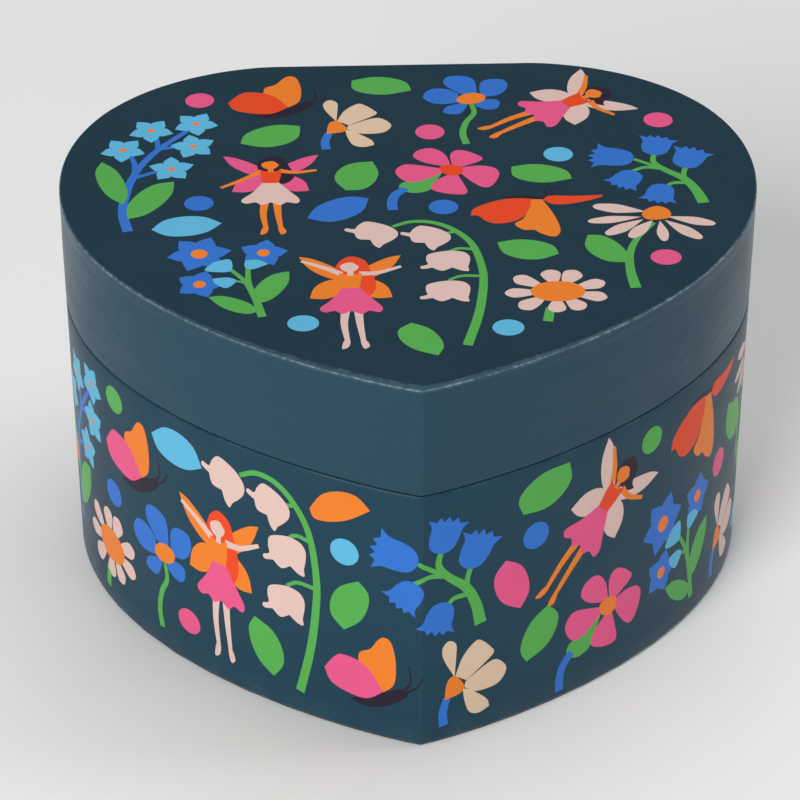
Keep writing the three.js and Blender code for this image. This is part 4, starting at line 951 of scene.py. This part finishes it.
def on_wall(profile, s, t, ripple=0.0, facing=1):
    """Point and normal of a paper wall at distance s round the heart and t up the paper."""
    section, way = profile.at(t)
    wave = ripple * noise.noise(Vector((s / 15, section.y / 13, 7.3)))
    spot, out = HEART.at(s, section.x + wave)
    normal = Vector((out.x * way.y, out.y * way.y, way.x)) * facing
    return Vector((spot.x, spot.y, section.y)), normal.normalized()


def wrap_wall(prefix, profile, shapes, holes, body, materials, wear_and_highlight, ripple=0.0, facing=1,
              step=2.2, rows=9, seam_at=-240.0):
    """Paper round the heart's side, cut into one piece per ink, each lying on the true curve."""
    low, high = profile.along[0], profile.along[-1]
    count = round(LOOP / step)
    across = [seam_at + LOOP * i / count for i in range(count + 1)]
    bends = sorted(set(round(a, 4) for a in profile.along if low < a < high))
    ups = sorted(set(bends + [low + (high - low) * j / rows for j in range(1, rows)]))
    edge = ([Vector((s, low)) for s in across] + [Vector((across[-1], t)) for t in ups]
            + [Vector((s, high)) for s in across[::-1]]
            + [Vector((across[0], t)) for t in ups[::-1]])
    tip_bend = TIP_RADIUS * TIP_SLOPE
    across = [s for s in across[1:-1] if abs(s) > tip_bend * 1.2]
    across += [tip_bend * i / 4 for i in range(-4, 5)]
    folds = [(Vector((s, low)), Vector((s, high))) for s in across]
    folds += [(edge[count + 1 + i], edge[-1 - i]) for i in range(len(ups))]
    flat, by_ink = cut_sheet(edge, shapes, holes, folds)
    made = []
    for ink, cells in sorted(by_ink.items(), key=lambda found: found[0] != "ground"):
        used = sorted({i for cell in cells for i in cell})
        index = {old: new for new, old in enumerate(used)}
        spots = [on_wall(profile, flat[i].x, flat[i].y, ripple, facing) for i in used]
        faces = [tuple(index[i] for i in (cell if facing > 0 else cell[::-1])) for cell in cells]
        name = f"{prefix}_{ink}" if len(by_ink) > 1 else prefix
        piece = add_piece(name, [p for p, _ in spots], faces, materials[ink], body,
                          normals=[n for _, n in spots])
        marks = piece.data.attributes.new("wear_and_highlight_mask", "FLOAT", "POINT")
        marks.data.foreach_set("value", [wear_and_highlight(flat[i].x, flat[i].y) for i in used])
        made.append(piece)
    return made


def falloff(distance, reach):
    return max(0.0, 1 - abs(distance) / reach) ** 1.5


# ---- camera, lights and floor
scene = bpy.context.scene
scene.view_settings.view_transform = "Standard"
scene.view_settings.look = "None"
scene.view_settings.exposure = 0.0

camera = bpy.data.objects.new("camera", bpy.data.cameras.new("camera"))
camera.data.sensor_width = 36.0
camera.data.lens = 146.1
camera.data.clip_start = 0.05
camera.location = Vector((-24.7, -678.8, 532.8)) * MM
camera.rotation_euler = (math.radians(90 - 35.33), 0, math.radians(-1.86))
scene.collection.objects.link(camera)
scene.camera = camera

world = bpy.data.worlds.new("studio")
scene.world = world
world.use_nodes = True
world.node_tree.nodes["Background"].inputs["Color"].default_value = linear("#F2F4F6")
world.node_tree.nodes["Background"].inputs["Strength"].default_value = 0.2


def softbox(name, place, size, power, tint="#FFFFFF"):
    """A square soft light aimed at the middle of the box."""
    lamp = bpy.data.lights.new(name, "AREA")
    lamp.shape = "RECTANGLE"
    lamp.size, lamp.size_y = size
    lamp.energy = power
    lamp.color = linear(tint)[:3]
    held = bpy.data.objects.new(name, lamp)
    held.location = place
    held.rotation_euler = (Vector((0, 0, 0.05)) - Vector(place)).to_track_quat("-Z", "Y").to_euler()
    scene.collection.objects.link(held)


softbox("key_softbox", (-1.25, -2.0, 1.45), (1.4, 1.4), 61, "#FFFDFA")
softbox("top_softbox", (0.3, 0.5, 2.4), (1.8, 1.8), 24)
softbox("right_strip", (1.9, 0.1, 0.55), (0.5, 1.6), 9)

bpy.ops.mesh.primitive_grid_add(x_subdivisions=8, y_subdivisions=8, size=9)
floor = bpy.context.object
floor.name = "studio_floor"
floor.location.z = -0.0002
paper_floor, tree, shader, where = new_material("matt_backdrop_paper", Roughness=0.9)
tone = add_node(tree, "ShaderNodeTexNoise",
    {"Vector": where["Object"], "Scale": 1 / (260 * MM), "Detail": 2.0})
pale = add_node(tree, "ShaderNodeMix",
    {0: tone.outputs["Fac"], 6: linear("#E9EAEA"), 7: linear("#EEEFEF")}, data_type="RGBA")
wire(tree, shader, Base_Color=pale.outputs[2])
floor.data.materials.append(paper_floor)

# ---- the base's printed wrap: over the floor edge, up the side and over the rim
FOOT_ROUND = 0.95
RIM_ROUND = 0.55
base_section = ([(1.4, 0.35)] + rounded((FOOT_ROUND, 1.2), FOOT_ROUND, -90, -180)
                + [(0.0, 20.0), (0.0, 45.0), (0.0, 70.0)]
                + rounded((RIM_ROUND, BASE_RIM - RIM_ROUND), RIM_ROUND, 180, 90)
                + [(BOARD_IN, BASE_RIM)])
base_section = [(x if i > 7 or x > 0 else 0.0, z) for i, (x, z) in enumerate(base_section)]
base_profile = Profile(base_section, (8, 20.0))
back_holes = [ellipse(HEART.half + x, z, r, count=24) for x, z, r in BACK_HOLES]


# lighter marks on the base's paper: a little wear at the tip, and thin lines along the rim and the
# foot that are painted highlights with a little wear
def base_wear_and_highlight(s, t):
    tip = falloff(s, 1.1) * (0.55 + 0.45 * noise.noise(Vector((0, t / 7, 1))))
    rim = 0.5 * falloff(t - BASE_RIM + 0.2, 0.5) * (0.6 + noise.noise(Vector((s / 9, 0, 4))))
    foot = 0.7 * falloff(t - 0.9, 0.8) * (0.6 + noise.noise(Vector((s / 7, 0, 9))))
    return min(max(tip * 0.06, rim * 0.3, foot * 0.2, 0.0), 1.0)


wraps = wrap_wall("base_print", base_profile, BASE_PRINT, back_holes, "base",
                  {**PAPER, "ground": SIDE_GROUND_PAINTED_LIGHTER}, base_wear_and_highlight, ripple=0.05)
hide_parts("base_paper")

# ---- the lid's plain wrap: up the side, over the rim and onto the top board
LID_EDGE = 0.35
LID_FOOT_ROUND = 0.6
TURNED_OVER = 8.0  # how far the wrap goes in under the printed sheet
lid_section = ([(BOARD_IN, LID_RIM)]
               + rounded((LID_FOOT_ROUND, LID_RIM + LID_FOOT_ROUND), LID_FOOT_ROUND, -90, -180)
               + [(0.0, 85.0), (0.0, 95.0), (0.03, LID_PAPER_TOP - 4.2),
                  (0.07, LID_PAPER_TOP - 3.2), (0.0, LID_PAPER_TOP - 2.2)]
               + rounded((LID_EDGE, LID_PAPER_TOP - LID_EDGE), LID_EDGE, 180, 90)
               + [(4.5, LID_PAPER_TOP - 0.02), (TURNED_OVER, LID_PAPER_TOP - 0.05)])
lid_profile = Profile(lid_section, (8, 85.0))


# lighter marks on the lid's wrap: a little wear at the tip, and a strong line round the rounded top
# edge that is a painted highlight with a little wear
def lid_wear_and_highlight(s, t):
    tip = falloff(s, 1.1) * (0.5 + 0.5 * noise.noise(Vector((0, t / 6, 3))))
    over = lid_profile.along[-1] - (TURNED_OVER - LID_EDGE) - LID_EDGE * math.pi / 4
    edge = falloff(t - over, 0.42) * (0.7 + 0.5 * noise.noise(Vector((s / 11, 0, 6))))
    return min(max(tip * 0.06, edge * 1.1, 0.0), 1.0)


lid_wrap = wrap_wall("lid_wrap", lid_profile, [], [], "lid",
                     {"ground": PLAIN_WRAP}, lid_wear_and_highlight, ripple=0.09)
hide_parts("lid_paper")

# ---- the printed sheet laid on the lid, cut a little inside the edge and most at the tip


def sheet_inset(s):
    s = (s + HEART.half) % LOOP - HEART.half
    return 0.45 + 1.5 * math.exp(-((s / 50) ** 2)) + 0.08 * noise.noise(Vector((s / 8, 0, 2)))


sheet_edge = []
for i in range(420):
    along = LOOP * i / 420
    sheet_edge.append(HEART.at(along, sheet_inset(along))[0])
flat, by_ink = cut_sheet(sheet_edge, LID_PRINT, [], [])
for ink, cells in by_ink.items():
    used = sorted({i for cell in cells for i in cell})
    index = {old: new for new, old in enumerate(used)}
    points = [Vector((flat[i].x, flat[i].y, TOP)) for i in used]
    faces = [tuple(index[i] for i in cell) for cell in cells]
    if ink == "ground":
        rim = [index[i] for i in range(len(sheet_edge))]
        first = len(points)
        points += [Vector((p.x, p.y, LID_PAPER_TOP + 0.01)) for p in sheet_edge]
        faces += [(rim[i], first + i, first + (i + 1) % len(rim), rim[(i + 1) % len(rim)])
                  for i in range(len(rim))]
    piece = add_piece(f"lid_print_{ink}", points, faces, PAPER[ink], "lid",
                      smooth=False)
    marks = piece.data.attributes.new("wear_and_highlight_mask", "FLOAT", "POINT")
    if ink == "ground":
        marks.data.foreach_set("value", [0.0] * (len(points) - len(rim)) + [0.5] * len(rim))
        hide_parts("lid_top_sheet")

# ---- pink paper linings, glued inside both walls
LINING_ROUND = 0.5
LINING_LIP = 1.2  # how far the paper goes on over the edge


def lining(name, body, low, high, node, holes):
    """Lining paper on a wall's inner side, rounded over where the base and the lid meet."""
    straight = [(LINER_IN, low), (LINER_IN, (low + high) / 2), (LINER_IN, high)]
    if body == "base":
        section = (straight[:2] + rounded((LINER_IN - LINING_ROUND, high - LINING_ROUND),
                                          LINING_ROUND, 0, 90) + [(LINER_IN - LINING_LIP, high)])
    else:
        section = ([(LINER_IN - LINING_LIP, low)]
                   + rounded((LINER_IN - LINING_ROUND, low + LINING_ROUND), LINING_ROUND, -90, 0)
                   + straight[1:])
    middle = 1 if body == "base" else 8
    profile = Profile(section, (middle, section[middle][1]))
    made = wrap_wall(name, profile, [], holes, body, {"ground": LINING},
                     lambda s, t: 0.0, 0.03, -1)
    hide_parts(node)


lining("base_lining_paper", "base", bottom_of("base_liner"), top_of("base_liner"), "base_liner",
       back_holes)
lining("lid_lining_paper", "lid", bottom_of("lid_liner"), top_of("lid_liner"), "lid_liner", [])


def flocked_pad(name, outline, glued_z, face_z, body, node, roll=1.3, swell=0.25):
    edge = kdtree.KDTree(4 * len(outline))
    dense = []
    for a, b in zip(outline, outline[1:] + outline[:1]):
        dense += [a.lerp(b, k / 4) for k in range(4)]
    for i, p in enumerate(dense):
        edge.insert((p.x, p.y, 0), i)
    edge.balance()

    def depth(p):
        return edge.find((p.x, p.y, 0))[2]

    spare = []
    for i, p in enumerate(outline):
        way = (outline[(i + 1) % len(outline)] - outline[i - 1]).normalized()
        for d in (0.12, 0.4, 0.8, 1.3, 2.4, 5.0):
            q = p + Vector((-way.y, way.x)) * d * roll / 1.3
            if depth(q) > 0.93 * d * roll / 1.3:
                spare.append(q)
    xs, ys = [p.x for p in outline], [p.y for p in outline]
    for x in range(int(min(xs)) + 3, int(max(xs)), 6):
        for y in range(int(min(ys)) + 3, int(max(ys)), 6):
            spare.append(Vector((x, y)))
    points, faces = list(outline) + spare, [tuple(range(len(outline)))]
    flat, _, cells, _, _, owners = delaunay_2d_cdt(points, [], faces, 1, 1e-4)
    cells = [tuple(c) for c, owner in zip(cells, owners) if owner]
    up = 1 if face_z > glued_z else -1
    thick = abs(face_z - glued_z)
    face = []
    for p in flat:
        d = depth(p)
        rise = 1.0 if d >= roll else math.sqrt(max(1 - (1 - d / roll) ** 2, 0))
        lump = swell * noise.noise(Vector((p.x / 19, p.y / 19, 5.5))) * min(d / 6, 1)
        height = thick - roll * (1 - rise) * 0.8 - swell * (1 - min(d / 14, 1)) + min(lump, 0)
        face.append(Vector((p.x, p.y, glued_z + up * height)))
    below = [Vector((p.x, p.y, glued_z)) for p in flat]
    count = len(flat)
    rim = len(outline)
    faces = [c if up > 0 else c[::-1] for c in cells]
    faces += [tuple(i + count for i in (c[::-1] if up > 0 else c)) for c in cells]
    faces += [(i, (i + 1) % rim, (i + 1) % rim + count, i + count) for i in range(rim)]
    pad = tidy(add_piece(name, face + below, faces, FLOCK, body))
    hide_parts(node)


def around_housing(outline):
    """The heart with the housing's place left out of its back."""
    low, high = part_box("housing_shell")
    half, front = high.x / MM + 0.35, low.y / MM - 0.35
    kept = [p for p in outline if abs(p.x) > half or p.y < front]
    right = [p for p in kept if p.x >= 0]
    left = [p for p in kept if p.x < 0]
    last, first = right[-1], left[0]
    return (right + [Vector((half, last.y)), Vector((half, front)), Vector((-half, front)),
                     Vector((-half, first.y))] + left)


pad_inset = LINER_IN + 0.35
flocked_pad("floor_pad", around_housing(heart_loop(pad_inset, 300)), bottom_of("floor_lining"),
            top_of("floor_lining"), "base", "floor_lining")
flocked_pad("lid_pad", heart_loop(pad_inset, 300), top_of("lid_lining"), CEILING, "lid",
            "lid_lining", 1.0, 0.15)

# ---- heart mirror in its gilt frame, under the lid
MIRROR_SCALE = (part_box("mirror_frame")[1].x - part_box("mirror_frame")[0].x) / MM / HEART_WIDTH
frame_top = top_of("mirror_frame")
FRAME_MOULD = [(0, 0), (0, 1.25), (0.15, 1.7), (0.5, 2.05), (0.95, 2.2), (1.4, 2.08), (1.75, 1.75),
               (1.95, 1.6), (2.15, 1.7), (2.4, 1.82), (2.65, 1.76), (2.85, 1.55), (3.0, 1.2),
               (3.0, 0)]
rings = []
for inset, drop in FRAME_MOULD:
    rings.append([(p.x, p.y, frame_top - drop) for p in heart_loop(inset, 240, MIRROR_SCALE)])
rings.append(rings[0])
gilt_frame = loft("mirror_gilt_frame", rings, GILT, "lid")
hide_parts("mirror_frame")
glass_face = bottom_of("mirror")
rings = [[(p.x, p.y, z) for p in heart_loop(inset, 240, MIRROR_SCALE)]
         for inset, z in ((3.06, top_of("mirror")), (3.06, glass_face + 0.2), (3.3, glass_face))]
mirror_glass = loft("mirror_glass", rings, MIRROR, "lid", (True, True),
                    smooth=False)
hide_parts("mirror")

# ---- cloth hinge: one strip glued inside the back of base and lid, slack over the seam
hinge_low, hinge_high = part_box("hinge_cloth_base")[0] / MM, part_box("hinge_cloth_lid")[1] / MM
HINGE_SLACK = 1.1
rings, marks = [], []
for j in range(45):
    z = hinge_low.z + (hinge_high.z - hinge_low.z) * j / 44
    slack = HINGE_SLACK * math.exp(-((z - SEAM) / 2.6) ** 2)
    ring = []
    for thick, columns in ((0.05, range(41)), (0.35, range(40, -1, -1))):
        for i in columns:
            x = hinge_low.x + (hinge_high.x - hinge_low.x) * i / 40
            pucker = (0.06 * noise.noise(Vector((x / 5, z / 4, 3)))
                      * math.exp(-((z - SEAM) / 6) ** 2))
            ring.append((x, hinge_high.y - thick - slack - abs(pucker), z))
            marks.append((x, z))
    rings.append(ring)
hinge = loft("cloth_hinge", rings, TAPE, None, (True, True), uv=marks)
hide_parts("hinge_cloth_base", "hinge_cloth_lid")
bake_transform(hinge)

# ---- the ribbon that stops the lid: drawn straight at full opening, then turned back to rest.
# Turning it back leaves it shorter than its cut, and its two faces part as the lid opens, since
# its thickness lies along the blend's short run. Both are open faults.
OPEN = math.radians(100)
ribbon_low, ribbon_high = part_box("stay_ribbon")[0] / MM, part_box("stay_ribbon")[1] / MM
RIBBON_WIDTH = 10.0
RIBBON_LENGTH = 80.0
GLUED_END = 17.0
anchor_reach, anchor_dip = 48.0, math.radians(6.6)
x_low, x_high = (ribbon_low.x + ribbon_high.x) / 2 + 1.5, (ribbon_low.x + ribbon_high.x) / 2 + 2.5


def eased(share):
    return share * share * (3 - 2 * share)


def ribbon_point(share, across, lift):
    """A point of the ribbon at rest: drawn straight between its anchors with the lid fully
    open, then turned back by as much of the opening as its middle will follow."""
    turned = eased(share)
    sweep = OPEN + 2 * anchor_dip
    start = Vector((-math.cos(anchor_dip), -math.sin(anchor_dip))) * anchor_reach
    end = Vector((-math.cos(OPEN + anchor_dip), math.sin(OPEN + anchor_dip))) * anchor_reach
    way = (end - start).normalized()
    angle = sweep * turned - anchor_dip
    reach = anchor_reach * math.cos(sweep / 2) / math.cos(sweep * (turned - 0.5))
    place = Vector((-math.cos(angle), math.sin(angle))) * reach + Vector((-way.y, way.x)) * across
    back = turned * OPEN
    y = place.x * math.cos(back) - place.y * math.sin(back)
    z = place.x * math.sin(back) + place.y * math.cos(back)
    return Vector((x_low + (x_high - x_low) * share + lift, BACK + y, SEAM + z))


def ribbon_tab(body, far, upward):
    """The ribbon's glued end: from its anchor out to the wall, then flat on the lining."""
    way = Vector((-0.766, 0.643 * upward))
    centre = ribbon_point(0.0 if body == "base" else 1.0, 0, 0)
    rings, marks = [], []
    for j in range(25):
        run = far * j / 24
        y, z = centre.y + way.x * run, centre.z + way.y * run
        s = -min(range(60, 200), key=lambda d: abs(HEART.at(d, LINER_IN)[0].y - y))
        wall = HEART.at(s, LINER_IN)[0].x + 0.35
        share = min(run / (far * 0.5), 1.0)
        x = centre.x + (wall - centre.x) * share * share * (3 - 2 * share)
        ring = []
        for lift, sides in ((0.0, range(9)), (0.3, range(8, -1, -1))):
            for i in sides:
                across = RIBBON_WIDTH * (i / 8 - 0.5)
                ring.append((x + lift, y - way.y * across, z + way.x * across))
                marks.append((across, run))
        rings.append(ring)
    return loft(f"stay_ribbon_tab_{body}", rings, TAPE, body, (True, True), uv=marks)


rings, marks = [], []
for j in range(97):
    share = j / 96
    ring = []
    for lift, sides in ((0.0, range(9)), (0.3, range(8, -1, -1))):
        for i in sides:
            across = RIBBON_WIDTH * (i / 8 - 0.5)
            ring.append(ribbon_point(share, across, lift))
            marks.append((across, RIBBON_LENGTH * share))
    rings.append(ring)
ribbon = loft("stay_ribbon_strip", rings, TAPE, None, (True, True), uv=marks)
tabs = [ribbon_tab("base", GLUED_END, -1), ribbon_tab("lid", GLUED_END, 1)]
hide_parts("stay_ribbon")
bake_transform(ribbon)

# ---- the dancer: turned and dipped, with film wings, on a little spring
spot_y = (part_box("figure_body")[0].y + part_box("figure_body")[1].y) / 2 / MM
foot = bottom_of("figure_body")


def turned(name, section, material, frill=0.0, folds=14, at=(0.0, 0.0), count=56):
    """A round part from (radius, height) steps; a frill waves its widest rings up and down."""
    widest = max(r for r, _ in section)
    rings = []
    for r, h in section:
        ring = []
        for i in range(count):
            a = 2 * math.pi * i / count
            wave = frill * (r / widest) ** 3 * math.cos(folds * a)
            ring.append(((r + wave * 0.4) * math.cos(a) + at[0], spot_y + at[1] + (r + wave * 0.4)
                         * math.sin(a), foot + h + wave))
        rings.append(ring)
    return loft(name, rings, material, "dancer", (True, True))


def limb(name, path, radii, material, count=14):
    """A round limb along points given from the dancer's foot."""
    line = [Vector(p) for p in path]
    rings = []
    for i, p in enumerate(line):
        way = (line[min(i + 1, len(line) - 1)] - line[max(i - 1, 0)]).normalized()
        side = way.cross(Vector((0, 1, 0.013))).normalized()
        up = side.cross(way)
        rings.append([(p.x + q.x, spot_y + p.y + q.y, foot + p.z + q.z) for q in
                      ((side * math.cos(a) + up * math.sin(a)) * radii[i] for a in
                       (2 * math.pi * k / count for k in range(count)))])
    return loft(name, rings, material, "dancer", (True, True))


for side, forward, name in ((-1, 0, "left"), (1, -0.1, "right")):
    path = [(0.55 * side, forward, 0), (0.55 * side, forward, 1.4), (0.6 * side, 0, 4),
            (0.7 * side, 0, 8.5), (0.85 * side, 0, 12), (1.0 * side, 0, 16)]
    limb(f"figure_leg_{name}", path, (0.35, 0.55, 0.72, 0.7, 0.95, 1.1), SKIN)
turned("figure_slippers", [(0.2, -0.05), (1.15, 0.05), (1.3, 0.5), (1.25, 1.4), (1.1, 2.3),
                           (0.4, 2.5)], SLIPPER)
turned("figure_tutu_under", [(1.2, 13.2), (3.5, 13.4), (6.9, 13.9), (7.0, 14.2), (4.5, 15.0),
                             (1.4, 16.4)], SLIPPER, 0.42, 17)
turned("figure_tutu_over", [(1.2, 14.4), (3.4, 14.6), (7.3, 15.0), (7.35, 15.3), (5.0, 16.6),
                            (3.0, 18.2), (2.0, 19.6), (1.3, 20.0)], DRESS, 0.5, 14)
turned("figure_bodice", [(0.4, 19.0), (1.7, 19.6), (1.72, 21.0), (1.62, 22.0), (1.95, 23.4),
                         (2.25, 24.8), (2.1, 25.9), (1.5, 26.2), (0.4, 26.3)], DRESS)
turned("figure_neck", [(0.4, 25.6), (1.8, 26.0), (1.5, 26.7), (0.85, 27.2), (0.75, 28.0),
                       (0.85, 28.8), (0.4, 29.2)], SKIN)
turned("figure_head", [(0.1, 28.1), (1.0, 28.4), (1.75, 29.3), (2.2, 30.6), (2.35, 31.9),
                       (2.2, 33.2), (1.6, 34.3), (0.7, 34.9), (0.1, 35.0)], SKIN, at=(0, -0.15))
turned("figure_hair", [(1.6, 30.0), (2.35, 30.5), (2.6, 31.8), (2.5, 33.2), (1.95, 34.5),
                       (1.0, 35.2), (0.1, 35.3)], HAIR, at=(0, 0.4))
turned("figure_bun", [(0.1, 34.7), (0.9, 34.8), (1.3, 35.4), (1.25, 36.1), (0.8, 36.7),
                      (0.1, 36.95)], HAIR, at=(0, 0.5))
for side, name in ((-1, "left"), (1, "right")):
    limb(f"figure_arm_{name}", [(1.7 * side, 0, 25.7), (2.9 * side, -0.3, 24.6),
                                (4.1 * side, -1.3, 23.1), (4.5 * side, -2.9, 22.6),
                                (3.5 * side, -4.3, 23.0), (2.3 * side, -5.0, 23.4)],
         (0.62, 0.6, 0.52, 0.45, 0.36, 0.22), SKIN)
    for part, outline in (("upper", petal((0.4, 0.0), (10.2, 7.6), 7.2, 0.66)),
                          ("lower", petal((0.4, 0.6), (6.8, -6.4), 5.0, 0.66))):
        outline = [(p.x * side, p.y + 22.5) for p in outline]
        sheets = [[(x, spot_y + 2.9 + back + abs(x) * 0.12, foot + z) for x, z in outline]
                  for back in (0.0, 0.25)]
        wing = loft(f"figure_wing_{part}_{name}", sheets, FILM, "dancer", (True, True),
                    smooth=False)
        if part == "upper" and side < 0:
            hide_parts("figure_wings")
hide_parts("figure_body")

# ---- the parts that keep their own shape: each gets its finish
FINISHES = (
    (GREYBOARD, ("base_floor", "base_wall", "lid_top", "lid_wall")),
    (BOOKCLOTH, ("bottom_sheet",)),
    (LINING, ("housing_shell",)),
    (FLOCK, ("housing_top",)),
    (NYLON, ("spindle_bush", "worm_wheel", "fan", "wire_guide")),
    (CAST_ZINC, ("bedplate", "cylinder_bracket", "train_bracket", "governor_frame",
                 "spindle_bracket")),
    (WOOD, ("movement_riser",)),
    (STEEL, ("comb", "comb_screw_1", "comb_screw_2", "movement_screw_1", "movement_screw_2",
             "movement_screw_3", "winding_arbor", "cylinder_arbor", "cylinder_pinion",
             "train_arbor", "worm", "dancer_pinion", "dancer_spindle", "stop_wire")),
    (SPRING_STEEL, ("clutch_spring", "mainspring", "figure_spring")),
    (BRASS, ("winding_key", "spring_barrel", "barrel_cover", "tune_cylinder", "cylinder_gear")),
    (GILT, ("turntable",)),
)
SOFTENED = {"housing_shell": 0.5, "housing_top": 0.3, "bedplate": 0.3, "movement_riser": 0.25,
            "winding_key": 0.25, "turntable": 0.2, "spring_barrel": 0.2, "barrel_cover": 0.15,
            "cylinder_bracket": 0.2, "train_bracket": 0.2, "spindle_bracket": 0.2}
for finish, names in FINISHES:
    for name in names:
        for place in NODES[name].material_slots:
            place.material = finish
for name, width in SOFTENED.items():
    soften = NODES[name].modifiers.new("softened_edges", "BEVEL")
    soften.width = width * MM
    soften.segments = 2
    soften.limit_method = "ANGLE"
    soften.angle_limit = math.radians(40)
